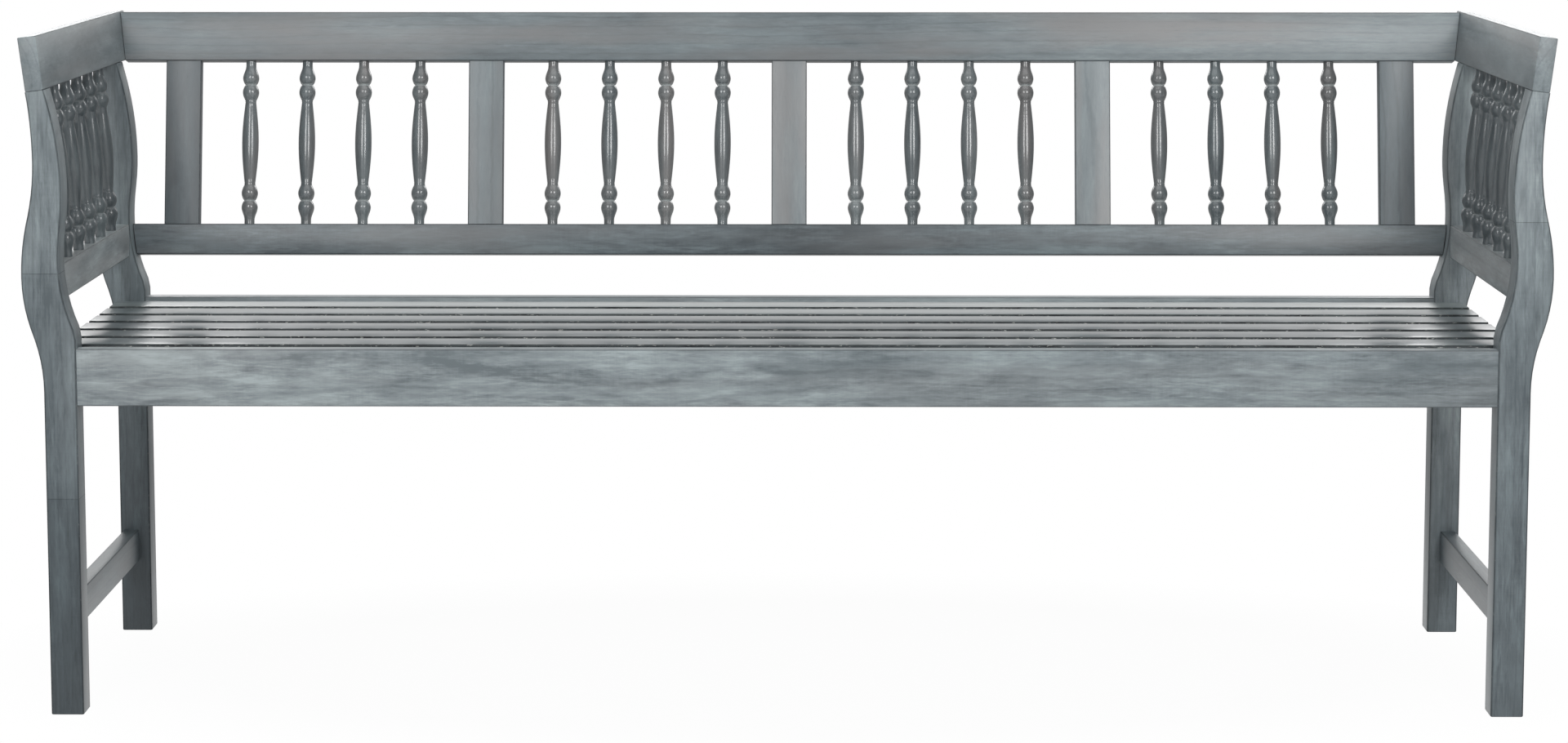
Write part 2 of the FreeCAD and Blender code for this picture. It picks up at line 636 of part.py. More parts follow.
BACK_CLEAR = ("(sizes.back_rail_spacing - sizes.low_rail_height / 2"
              " - sizes.top_rail_height / 2)")
LOW_RAIL_EDGE = "sizes.low_rail_height / 2"
TOP_RAIL_EDGE = "(sizes.back_rail_spacing - sizes.top_rail_height / 2)"


def lean_back(body, x="0", up="0"):
    """Place a piece of the back panel, up along the lean from the lower rail."""
    body.Placement = Placement(Vector(), Rotation(-ALONG_X, value_of("sizes.recline")))
    bind(body, {
        "Placement.Rotation.Angle": "sizes.recline",
        "Placement.Base.x": x,
        "Placement.Base.y": f"sizes.back_y + ({up}) * sin(sizes.recline * 1deg)",
        "Placement.Base.z": f"sizes.back_z + ({up}) * cos(sizes.recline * 1deg)",
    })


def stile_x(number):
    """Middle of a flat slat of the back."""
    return f"{number - (BACK_STILES - 1) / 2} * sizes.stile_pitch"


def back_spindle_x(bay, number):
    """Middle of a spindle of the back."""
    bay_middle = bay - (BACK_STILES - 2) / 2
    step = number - (SPINDLES_PER_BAY - 1) / 2
    return f"{bay_middle} * sizes.stile_pitch + {step} * sizes.spindle_pitch"


def back_rail_holes(body, mouth, inwards):
    """Mortises for the flat slats and holes for the spindles, along a rail's edge."""
    low = f"{mouth} - {PAST}" if inwards > 0 else f"{mouth} - sizes.stub_length - {GAP}"
    for number in range(BACK_STILES):
        block(body, "Subtractive", f"StileMortise{number}",
              (f"sizes.stile_width - 2 * sizes.tenon_shoulder + 2 * {GAP}",
               f"sizes.tenon_thickness + 2 * {GAP}", f"sizes.stub_length + {GAP} + {PAST}"),
              (f"{stile_x(number)} - sizes.stile_width / 2 + sizes.tenon_shoulder - {GAP}",
               f"-sizes.tenon_thickness / 2 - {GAP}", low))
    low = (f"{mouth} - {PAST}" if inwards > 0
           else f"{mouth} - sizes.spindle_tenon_length - {GAP}")
    for bay in range(BACK_STILES - 1):
        for number in range(SPINDLES_PER_BAY):
            bar(body, "Subtractive", f"SpindleHole{bay}{number}", f"sizes.spindle_tenon + {GAP}",
                f"sizes.spindle_tenon_length + {GAP} + {PAST}",
                (back_spindle_x(bay, number), "0", low))


def lower_back_rail():
    """The lower rail, whose ends follow the legs' inner sides."""
    body = new_node("PartDesign::Body", "lower_back_rail")
    half = "(sizes.low_rail_height / 2)"
    low_end = f"({inner_face_x(f'sizes.back_z - {half}')} - sizes.shoulder_gap)"
    high_end = f"({inner_face_x(f'sizes.back_z + {half}')} - sizes.shoulder_gap)"
    corners = [(low_end, f"-{half}"), (high_end, half),
               (f"-{high_end}", half), (f"-{low_end}", f"-{half}")]
    sketch = outline(body, "Outline", "XZ_Plane", corners)
    board = pad(body, sketch, "sizes.low_rail_thickness")
    ease(body, board, "Fillet", "sizes.board_round", runs_along(ALONG_X, LONG_EDGE))
    for number, low_x in enumerate(("-sizes.back_tenon_end", "sizes.back_tenon_root")):
        block(body, "Additive", f"Tenon{number}",
              ("sizes.back_tenon_end - sizes.back_tenon_root", "sizes.tenon_thickness",
               "sizes.low_rail_height - 2 * sizes.tenon_shoulder"),
              (low_x, "-sizes.tenon_thickness / 2", f"-{half} + sizes.tenon_shoulder"))
    back_rail_holes(body, LOW_RAIL_EDGE, -1)
    lean_back(body)


def top_back_rail():
    """The top rail, whose ends follow the tilt of the arm boards."""
    body = new_node("PartDesign::Body", "top_back_rail")
    low = "sizes.back_rail_spacing - sizes.top_rail_height / 2"
    high = "sizes.back_rail_spacing + sizes.top_rail_height / 2"
    corners = [("sizes.top_rail_low_end", low), ("sizes.top_rail_high_end", high),
               ("-sizes.top_rail_high_end", high), ("-sizes.top_rail_low_end", low)]
    sketch = outline(body, "Outline", "XZ_Plane", corners)
    board = pad(body, sketch, "sizes.top_rail_thickness")
    ease(body, board, "Fillet", "sizes.board_round", runs_along(ALONG_X, LONG_EDGE))
    back_rail_holes(body, TOP_RAIL_EDGE, 1)
    inner_end = f"(sizes.rail_dowel_start - {GAP})"
    for side_name, side in SIDES.items():
        for number, offset in enumerate((-1, 1)):
            low_x = inner_end if side > 0 else f"-{inner_end} - sizes.dowel_length"
            bar(body, "Subtractive", f"DowelHole_{side_name}_{number}",
                "sizes.dowel_radius + sizes.tight_play", "sizes.dowel_length",
                (low_x, "0", rail_dowel_up(offset)), TOWARDS_X)
    lean_back(body)


def back_stile(number):
    """A flat slat of the back, with a stub tenon at each end."""
    body = new_node("PartDesign::Body", f"back_slat_{number + 1}")
    board = block(body, "Additive", "Board",
                  ("sizes.stile_width", "sizes.stile_thickness", BACK_CLEAR),
                  ("-sizes.stile_width / 2", "-sizes.stile_thickness / 2", LOW_RAIL_EDGE))
    ease(body, board, "Fillet", "sizes.board_round", runs_along(ALONG_Z, LONG_EDGE))
    for end, low in enumerate((f"{LOW_RAIL_EDGE} - sizes.stub_length",
                               f"{TOP_RAIL_EDGE} - {PAST}")):
        block(body, "Additive", f"Tenon{end}",
              ("sizes.stile_width - 2 * sizes.tenon_shoulder", "sizes.tenon_thickness",
               f"sizes.stub_length + {PAST}"),
              ("-sizes.stile_width / 2 + sizes.tenon_shoulder",
               "-sizes.tenon_thickness / 2", low))
    lean_back(body, stile_x(number))


lower_back_rail()
top_back_rail()
for number in range(BACK_STILES):
    back_stile(number)
for bay in range(BACK_STILES - 1):
    for number in range(SPINDLES_PER_BAY):
        name = f"back_spindle_{bay * SPINDLES_PER_BAY + number + 1}"
        lean_back(spindle(name, BACK_CLEAR), back_spindle_x(bay, number), LOW_RAIL_EDGE)


# Seat frame

def long_rail(label, y, top, towards_seat):
    """The apron or the rear seat rail: a board between two legs."""
    body = new_node("PartDesign::Body", label)
    bottom = f"({top} - sizes.apron_height)"
    board = block(body, "Additive", "Board",
                  ("2 * sizes.leg_inner", "sizes.apron_thickness", "sizes.apron_height"),
                  ("-sizes.leg_inner", "-sizes.apron_thickness / 2", bottom))
    ease(body, board, "Fillet", "sizes.board_round", runs_along(ALONG_X, LONG_EDGE))
    for number, low_x in enumerate(("-sizes.leg_inner - sizes.tenon_length",
                                    f"sizes.leg_inner - {PAST}")):
        block(body, "Additive", f"Tenon{number}",
              (f"sizes.tenon_length + {PAST}", "sizes.tenon_thickness",
               "sizes.rail_tenon_height"),
              (low_x, "-sizes.tenon_thickness / 2", f"{bottom} + sizes.rail_tenon_lift"))
    reach = f"(sizes.leg_outer - sizes.bolt_sink - sizes.bolt_length - {PAST})"
    beyond_front = f"-sizes.apron_thickness / 2 - {PAST}"
    nut_end = "sizes.nut_length / 2 + sizes.head_play"
    for number, end in enumerate((-1, 1)):
        low_x = reach if end > 0 else "-sizes.leg_outer"
        bar(body, "Subtractive", f"BoltHole{number}", "sizes.bolt_radius + sizes.shank_play",
            f"sizes.leg_outer - {reach}", (low_x, "0", "sizes.bolt_height"), TOWARDS_X)
        low_y = f"-({nut_end})" if towards_seat > 0 else beyond_front
        bar(body, "Subtractive", f"NutHole{number}", f"sizes.nut_radius + {GAP}",
            f"sizes.apron_thickness / 2 + {PAST} + {nut_end}",
            (f"{end} * {NUT_X}", low_y, "sizes.bolt_height"), TOWARDS_Y)
    for number in range(BEARERS):
        low_y = (f"sizes.apron_thickness / 2 - sizes.stub_length - {GAP}" if towards_seat > 0
                 else beyond_front)
        block(body, "Subtractive", f"BearerMortise{number}",
              (f"sizes.tenon_thickness + 2 * {GAP}", f"sizes.stub_length + {GAP} + {PAST}",
               f"sizes.side_rail_height - 2 * sizes.tenon_shoulder + 2 * {GAP}"),
              (f"{bearer_x(number)} - sizes.tenon_thickness / 2 - {GAP}", low_y,
               f"{BOARD_Z} - sizes.side_rail_height + sizes.tenon_shoulder - {GAP}"))
    place(body, "0", y, "0")


def bearer_x(number):
    """Middle of a seat bearer."""
    return f"{number - (BEARERS - 1) / 2} * sizes.bearer_pitch"


def bearer(number):
    """A bearer under the slats, between the apron and the rear seat rail."""
    body = new_node("PartDesign::Body", f"seat_bearer_{number + 1}")
    start = f"({APRON_Y} + sizes.apron_thickness / 2)"
    end = f"({REAR_RAIL_Y} - sizes.apron_thickness / 2)"
    bottom = f"({BOARD_Z} - sizes.side_rail_height)"
    block(body, "Additive", "Board",
          ("sizes.bearer_thickness", f"{end} - {start}", "sizes.side_rail_height"),
          ("-sizes.bearer_thickness / 2", start, bottom))
    for tenon, low_y in enumerate((f"{start} - sizes.stub_length", f"{end} - {PAST}")):
        block(body, "Additive", f"Tenon{tenon}",
              ("sizes.tenon_thickness", f"sizes.stub_length + {PAST}",
               "sizes.side_rail_height - 2 * sizes.tenon_shoulder"),
              ("-sizes.tenon_thickness / 2", low_y, f"{bottom} + sizes.tenon_shoulder"))
    for slat in range(SEAT_SLATS):
        screw_hole(body, slat, "0", slat_y(slat), BOARD_Z)
    place(body, bearer_x(number), "0", "0")


HEAD_Z = f"({BOARD_Z} - sizes.side_rail_height + sizes.screw_sink)"
SUPPORTS = [f"{side} * (sizes.side_rail_inner + sizes.side_rail_thickness / 2)"
            for side in SIDES.values()] + [bearer_x(number) for number in range(BEARERS)]


def seat_slat(number):
    """A seat slat with rounded upper edges and screw holes from below."""
    body = new_node("PartDesign::Body", f"seat_slat_{number + 1}")
    board = block(body, "Additive", "Board",
                  ("2 * sizes.slat_half_length", "sizes.slat_width", "sizes.slat_thickness"),
                  ("-sizes.slat_half_length", "-sizes.slat_width / 2", BOARD_Z))
    middle = value_of(f"{BOARD_Z} + sizes.slat_thickness / 2")

    def upper(edge):
        return edge.BoundBox.ZMin > middle

    ease(body, board, "Fillet", "sizes.slat_round", upper)
    bite = (f"({HEAD_Z} - sizes.screw_head_height + sizes.screw_length + sizes.end_gap"
            f" - {BOARD_Z})")
    for support, x in enumerate(SUPPORTS):
        bar(body, "Subtractive", f"ScrewHole{support}", "sizes.screw_radius + sizes.tight_play",
            f"{bite} + {PAST}", (x, "0", f"{BOARD_Z} - {PAST}"))
    place(body, "0", slat_y(number), "0")


long_rail("front_apron", APRON_Y, "sizes.seat_height", 1)
long_rail("rear_seat_rail", REAR_RAIL_Y, "(sizes.seat_height + sizes.rear_rail_rise)", -1)
for number in range(BEARERS):
    bearer(number)
for number in range(SEAT_SLATS):
    seat_slat(number)


# Fasteners and dowels, each kind as one group of separate solids

def rod(name, radius, length, start, rotation=None):
    """A plain cylinder from its start along its axis."""
    cylinder = doc.addObject("Part::Cylinder", name)
    bind(cylinder, {"Radius": radius, "Height": length})
    place(cylinder, *start, rotation)
    return cylinder


def headed(name, shank, head):
    """A shank and a head as one piece."""
    joined = doc.addObject("Part::Fuse", name)
    joined.Base = shank
    joined.Tool = head
    return joined


def group(label, pieces):
    """A node that holds a set of equal pieces."""
    node = new_node("Part::Compound", label)
    node.Links = pieces


bolts = []
nuts = []
for side_name, side in SIDES.items():
    for row, y in (("front", APRON_Y), ("rear", REAR_RAIL_Y)):
        name = f"{row}_{side_name}"
        turn = Rotation(ALONG_Y, -90 * side)
        seat = f"{side} * (sizes.leg_outer - sizes.bolt_sink)"
        outside = f"{side} * (sizes.leg_outer - sizes.bolt_sink + sizes.bolt_head_height)"
        shank = rod(f"shank_{name}", "sizes.bolt_radius", "sizes.bolt_length",
                    (seat, y, "sizes.bolt_height"), turn)
        head = rod(f"head_{name}", "sizes.bolt_head_radius", "sizes.bolt_head_height",
                   (outside, y, "sizes.bolt_height"), turn)
        bolts.append(headed(f"bolt_{name}", shank, head))
        blank = rod(f"barrel_{name}", "sizes.nut_radius", "sizes.nut_length",
                    (f"{side} * {NUT_X}", f"{y} - sizes.nut_length / 2", "sizes.bolt_height"),
                    TOWARDS_Y)
        bore = rod(f"bore_{name}", "sizes.bolt_radius + sizes.tight_play", "4 * sizes.nut_radius",
                   (f"{side} * ({NUT_X} + 2 * sizes.nut_radius)", y, "sizes.bolt_height"), turn)
        nut = doc.addObject("Part::Cut", f"nut_{name}")
        nut.Base = blank
        nut.Tool = bore
        nuts.append(nut)
group("frame_bolts", bolts)
group("barrel_nuts", nuts)

screws = []
for support, x in enumerate(SUPPORTS):
    for number in range(SEAT_SLATS):
        name = f"{support}{number}"
        shank = rod(f"screw_shank_{name}", "sizes.screw_radius", "sizes.screw_length",
                    (x, slat_y(number), f"{HEAD_Z} - sizes.screw_head_height"))
        head = rod(f"screw_head_{name}", "sizes.screw_head_radius", "sizes.screw_head_height",
                   (x, slat_y(number), f"{HEAD_Z} - sizes.screw_head_height"))
        screws.append(headed(f"screw_{name}", shank, head))
group("slat_screws", screws)

dowels = []
half_dowel = "sizes.dowel_length / 2"
for side_name, side in SIDES.items():
    tilt = value_of("sizes.arm_tilt")
    for number, offset in enumerate((-1, 1)):
        for row, y in LEG_ROWS.items():
            dowels.append(rod(
                f"dowel_{row}_{side_name}_{number}", "sizes.dowel_radius", "sizes.dowel_length",
                (f"{side} * (sizes.arm_foot - {half_dowel} * sin(sizes.arm_tilt * 1deg))",
                 f"{y} + {offset} * sizes.dowel_offset",
                 f"sizes.arm_foot_height - {half_dowel} * cos(sizes.arm_tilt * 1deg)"),
                Rotation(ALONG_Y, side * tilt)))
        dowels.append(rod(
            f"dowel_rail_{side_name}_{number}", "sizes.dowel_radius", "sizes.dowel_length",
            (f"{side} * sizes.rail_dowel_start", *rail_dowel_place(offset)),
            Rotation(ALONG_Y, side * 90)))
group("arm_dowels", dowels)


# Check and write

doc.recompute()
failed = [thing.Label for thing in doc.Objects
          if "Invalid" in thing.State or "Error" in thing.State]
for node in nodes:
    if node.Shape.isNull() or not node.Shape.isValid():
        failed.append(node.Label)
if failed:
    raise RuntimeError("failed objects: " + ", ".join(failed))

os.makedirs("parts", exist_ok=True)
for node in nodes:
    node.Shape.exportStep(f"parts/{node.Label}.step")
print(len(nodes), "nodes written")
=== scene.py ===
"""A deacons bench in grey-washed wood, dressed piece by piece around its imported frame.

X runs along the bench, Y from the front to the back and Z up, in metres.
"""

import logging
import math
import random
from contextlib import contextmanager
from dataclasses import dataclass, field
from enum import Enum
from typing import Callable, Iterator

import bmesh
import bpy
from mathutils import Matrix, Vector


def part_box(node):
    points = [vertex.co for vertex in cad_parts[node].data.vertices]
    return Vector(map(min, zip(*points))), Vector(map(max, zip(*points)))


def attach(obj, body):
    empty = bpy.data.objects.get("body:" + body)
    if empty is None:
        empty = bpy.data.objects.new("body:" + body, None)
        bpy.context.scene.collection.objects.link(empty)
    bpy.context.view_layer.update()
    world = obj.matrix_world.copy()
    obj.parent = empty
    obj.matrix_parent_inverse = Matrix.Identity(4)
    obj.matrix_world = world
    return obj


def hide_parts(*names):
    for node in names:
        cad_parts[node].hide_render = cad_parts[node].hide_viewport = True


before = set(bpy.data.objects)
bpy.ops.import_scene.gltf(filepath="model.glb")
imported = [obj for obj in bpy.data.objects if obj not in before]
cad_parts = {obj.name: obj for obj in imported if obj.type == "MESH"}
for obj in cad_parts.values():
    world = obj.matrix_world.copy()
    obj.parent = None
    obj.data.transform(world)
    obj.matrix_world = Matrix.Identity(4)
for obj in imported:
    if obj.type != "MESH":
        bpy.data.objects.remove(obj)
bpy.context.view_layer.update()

BODY = "root"
GRAIN = "grain"
# Kept edge mask of each point: rubbed flecks and painted edge shade go there.
WEAR_AND_SHADE = "wear"
# Kept lightness of each point, with painted light and shade in it.
TONE_AND_PAINTED_LIGHT = "tone"
MOTTLE = "mottle"
WARMTH = "warmth"
END_GRAIN = "end_grain"
FLAT = 1e-5
NEAR = 1e-4
ALIGNED = 0.95
SHARP = math.radians(50)
ROUND = 32
log = logging.getLogger("bench")

Point = tuple[float, float, float]
Colour = tuple[float, float, float]
Pair = tuple[float, float]
Piece = bpy.types.Object
Socket = bpy.types.NodeSocket


class End(Enum):
    """The two ends of the bench, as signs along X."""

    LEFT = -1
    RIGHT = 1

    @property
    def label(self) -> str:
        """The word that the names of its pieces use."""
        return self.name.lower()

    @property
    def turn(self) -> Matrix:
        """Takes a piece of the right end to this end."""
        return Matrix.Rotation(0.0 if self is End.RIGHT else math.pi, 4, "Z")


class Row(Enum):
    """The two rows of legs."""

    FRONT = "front"
    REAR = "rear"


class Part(Enum):
    """What is picked in edit mode."""

    POINTS = "VERT"
    EDGES = "EDGE"
    FACES = "FACE"


class Slot(Enum):
    """The record's material slots."""

    FRAME = "frame_wood"
    SEAT = "seat_wood"
    TURNED = "turned_wood"
    DOWEL = "dowel_wood"
    BOLT = "bolt_steel"
    SCREW = "screw_steel"


# Tools of the workshop


def deselect_all() -> None:
    """Leave no object selected."""
    for thing in bpy.context.selected_objects:
        thing.select_set(False)


def take(piece: Piece) -> None:
    """Make a piece the only selected and active one."""
    deselect_all()
    piece.select_set(True)
    bpy.context.view_layer.objects.active = piece


@contextmanager
def editing(piece: Piece) -> Iterator[None]:
    """Work on a piece in edit mode."""
    take(piece)
    bpy.ops.object.mode_set(mode="EDIT")
    bpy.ops.mesh.select_all(action="DESELECT")
    yield
    bpy.ops.object.mode_set(mode="OBJECT")


def pick(piece: Piece, what: Part, wanted: Callable[..., bool]) -> None:
    """Select in edit mode what a test picks.

    Args:
        piece: the piece in edit mode.
        what: points, edges or faces.
        wanted: says of one of them whether it is picked.
    """
    bpy.ops.mesh.select_mode(type=what.value)
    bpy.ops.mesh.select_all(action="DESELECT")
    shape = bmesh.from_edit_mesh(piece.data)
    elements = {Part.POINTS: shape.verts, Part.EDGES: shape.edges, Part.FACES: shape.faces}
    for element in elements[what]:
        if wanted(element):
            element.select_set(True)
    bmesh.update_edit_mesh(piece.data)


def along(edge: bmesh.types.BMEdge, axis: int) -> bool:
    """Whether an edge runs along an axis, 0 to 2."""
    step = edge.verts[1].co - edge.verts[0].co
    return abs(step[axis]) > ALIGNED * step.length


def added(name: str, primitive: Callable[..., set], **settings: object) -> Piece:
    """Add a primitive, with its place, turn and scale applied.

    Args:
        name: its name.
        primitive: the operator that adds it.
        **settings: the operator's settings.

    Returns:
        The piece.
    """
    deselect_all()
    primitive(**settings)
    bpy.ops.object.transform_apply()
    piece = bpy.context.active_object
    piece.name = piece.data.name = name
    return piece


def bevel(piece: Piece, wanted: Callable[..., bool], width: float,
          segments: int = 3) -> None:
    """Bevel in edit mode the edges that a test picks.

    Args:
        piece: the piece in edit mode.
        wanted: says of an edge whether it is picked.
        width: how far the bevel reaches from the edge.
        segments: its facets.
    """
    pick(piece, Part.EDGES, wanted)
    bpy.ops.mesh.bevel(offset=width, segments=segments)


def cut_away(piece: Piece, cutter: Piece) -> None:
    """Cut a piece with another one, which is used up."""
    take(piece)
    modifier = piece.modifiers.new("cut", "BOOLEAN")
    modifier.object = cutter
    modifier.operation = "DIFFERENCE"
    modifier.solver = "EXACT"
    bpy.ops.object.modifier_apply(modifier=modifier.name)
    bpy.data.objects.remove(cutter)


def smooth(piece: Piece, degrees: float = 30.0) -> None:
    """Shade a piece smooth, but keep its sharp corners."""
    take(piece)
    bpy.ops.object.shade_smooth_by_angle(angle=math.radians(degrees))


def faded(axis: int, *stops: Pair) -> Callable[[Vector], float]:
    """A lightness along a piece: partly the wood's own, partly painted light and shade, such as
    painted shade towards the floor.

    Args:
        axis: the piece's axis, 0 to 2.
        *stops: places along it, each with its tone.

    Returns:
        What gives the tone at a place.
    """
    def tone(place: Vector) -> float:
        """The tone at a place."""
        for (start, low), (end, high) in zip(stops, stops[1:]):
            if place[axis] <= end:
                share = max(0.0, (place[axis] - start) / (end - start))
                return low + (high - low) * share
        return stops[-1][1]

    return tone


@dataclass(frozen=True)
class Timber:
    """The stick of wood that a piece is cut from."""

    axes: str = "xyz"
    # Its lightness is partly the wood's own and partly painted light and shade, lighter or darker
    # as the light falls on the piece.
    tone: float | Callable[[Vector], float] = 1.0
    mottle: float = 0.5
    warmth: float = 0.3
    end_slope: float = 0.75
    cut_from: tuple[Pair, ...] = ((0, 40), (-0.05, 0.05), (0.05, 0.11))

    def lay(self, piece: Piece, worn: Callable[[Vector], float]) -> None:
        """Store the wood's grain, its lightness with painted light and shade, and its rubbed edges
        with painted edge shade at each point of a piece.

        Args:
            piece: the piece, still about its own origin.
            worn: gives, from 0 to 1, where the rubbed flecks and the painted edge shade go.
        """
        draw = random.Random(piece.name)
        offset = [draw.uniform(*reach) for reach in self.cut_from]
        order = ["xyz".index(letter) for letter in self.axes]
        points = [point.co for point in piece.data.vertices]
        self.keep(piece, GRAIN, "FLOAT_VECTOR", "vector",
                  [[place[axis] + shift for axis, shift in zip(order, offset)]
                   for place in points])
        tones_and_painted_light = [self.tone(place) if callable(self.tone) else self.tone for place in points]
        for name, values in ((WEAR_AND_SHADE, [worn(place) for place in points]), (TONE_AND_PAINTED_LIGHT, tones_and_painted_light),
                             (MOTTLE, [self.mottle] * len(points)),
                             (WARMTH, [self.warmth] * len(points))):
            self.keep(piece, name, "FLOAT", "value", values)
        self.keep(piece, END_GRAIN, "FLOAT", "value",
                  [float(abs(face.normal[order[0]]) > self.end_slope)
                   for face in piece.data.polygons], "FACE")

    @staticmethod
    def keep(piece: Piece, name: str, kind: str, entry: str, values: list,
             domain: str = "POINT") -> None:
        """Keep a value for each point or face of a piece."""
        layer = piece.data.attributes.new(name, kind, domain)
        for slot, value in zip(layer.data, values):
            setattr(slot, entry, value)


def copy_of(piece: Piece, name: str) -> Piece:
    """A copy of a piece with a mesh of its own."""
    twin = piece.copy()
    twin.data = piece.data.copy()
    twin.name = twin.data.name = name
    bpy.context.scene.collection.objects.link(twin)
    return twin


# Finishes


class Recipe:
    """A node tree that is built up node by node."""

    def __init__(self, owner: bpy.types.ID) -> None:
        """Start an empty tree.

        Args:
            owner: the material or world that the tree belongs to.
        """
        owner.use_nodes = True
        self.owner = owner
        self.tree = owner.node_tree
        self.tree.nodes.clear()

    def node(self, kind: str, inputs: dict | None = None, **settings: object) -> bpy.types.Node:
        """Add a node.

        Args:
            kind: the node's type, without its prefix.
            inputs: values or sockets for its inputs, by name or number.
            **settings: its properties.

        Returns:
            The node.
        """
        made = self.tree.nodes.new("ShaderNode" + kind)
        for name, value in settings.items():
            setattr(made, name, value)
        for name, value in (inputs or {}).items():
            if isinstance(value, Socket):
                self.tree.links.new(value, made.inputs[name])
            else:
                made.inputs[name].default_value = value
        return made

    def scaled(self, vector: Socket, scale: Point) -> Socket:
        """A vector, stretched along its axes."""
        return self.node("Mapping", {"Vector": vector, "Scale": scale}).outputs["Vector"]

    def noise(self, vector: Socket, along_it: float, across: float, detail: float = 3.0,
              rough: float = 0.5) -> Socket:
        """Noise from 0 to 1, scaled along the vector's first axis and across it."""
        vector = self.scaled(vector, (along_it, across, across))
        made = self.node("TexNoise", {"Vector": vector, "Scale": 1.0, "Detail": detail,
                                      "Roughness": rough})
        return made.outputs["Fac"]

    def attribute(self, name: str, output: str = "Fac") -> Socket:
        """A value that is kept on the mesh."""
        return self.node("Attribute", attribute_name=name).outputs[output]

    def centred(self, value: Socket, gain: float) -> Socket:
        """Noise about zero, with a gain."""
        return self.reckon("MULTIPLY_ADD", value, gain, -gain / 2)

    def reckon(self, kind: str, *values: object) -> Socket:
        """A sum, product or the like of numbers and sockets."""
        made = self.node("Math", dict(enumerate(values)), operation=kind)
        return made.outputs["Value"]

    def times(self, first: object, second: object) -> Socket:
        """The product of two numbers or sockets."""
        return self.reckon("MULTIPLY", first, second)

    def span(self, value: Socket, low: float, high: float,
             start: float = 0.0, end: float = 1.0) -> Socket:
        """A value from low to high, mapped to start to end and held there."""
        made = self.node("MapRange", {"Value": value, "From Min": low, "From Max": high,
                                      "To Min": start, "To Max": end})
        return made.outputs["Result"]

    def mixed(self, share: object, first: object, second: object,
              blend: str = "MIX") -> Socket:
        """Two colours, mixed by a share."""
        made = self.node("Mix", data_type="RGBA", blend_type=blend)
        for socket, value in zip((made.inputs[0], made.inputs[6], made.inputs[7]),
                                 (share, first, second)):
            if isinstance(value, Socket):
                self.tree.links.new(value, socket)
            elif isinstance(value, tuple):
                socket.default_value = (*value, 1.0)
            else:
                socket.default_value = value
        return made.outputs[2]

    def tinted(self, value: Socket,
               stops: list[tuple[float, Colour]]) -> Socket:
        """A colour from a value, through stops."""
        made = self.node("ValToRGB", {"Fac": value})
        ramp = made.color_ramp
        ramp.elements[0].position, ramp.elements[1].position = stops[0][0], stops[-1][0]
        ramp.elements[0].color = (*stops[0][1], 1.0)
        ramp.elements[1].color = (*stops[-1][1], 1.0)
        for position, colour in stops[1:-1]:
            ramp.elements.new(position).color = (*colour, 1.0)
        return made.outputs["Color"]

    def finish(self, **inputs: object) -> bpy.types.Material:
        """End in a principled shader.

        Args:
            **inputs: the shader's inputs, with underscores for the spaces.

        Returns:
            The material.
        """
        named = {name.replace("_", " "): value for name, value in inputs.items()}
        shader = self.node("BsdfPrincipled", named)
        self.node("OutputMaterial", {"Surface": shader.outputs["BSDF"]})
        return self.owner


@dataclass(frozen=True)
class Finish:
    """A finish, whose material is made when it is first asked for."""

    name: str

    def material(self) -> bpy.types.Material:
        """The material."""
        made = bpy.data.materials.get(self.name)
        return made or self.built(Recipe(bpy.data.materials.new(self.name)))

    def built(self, recipe: Recipe) -> bpy.types.Material:
        """Build the material."""
        raise NotImplementedError


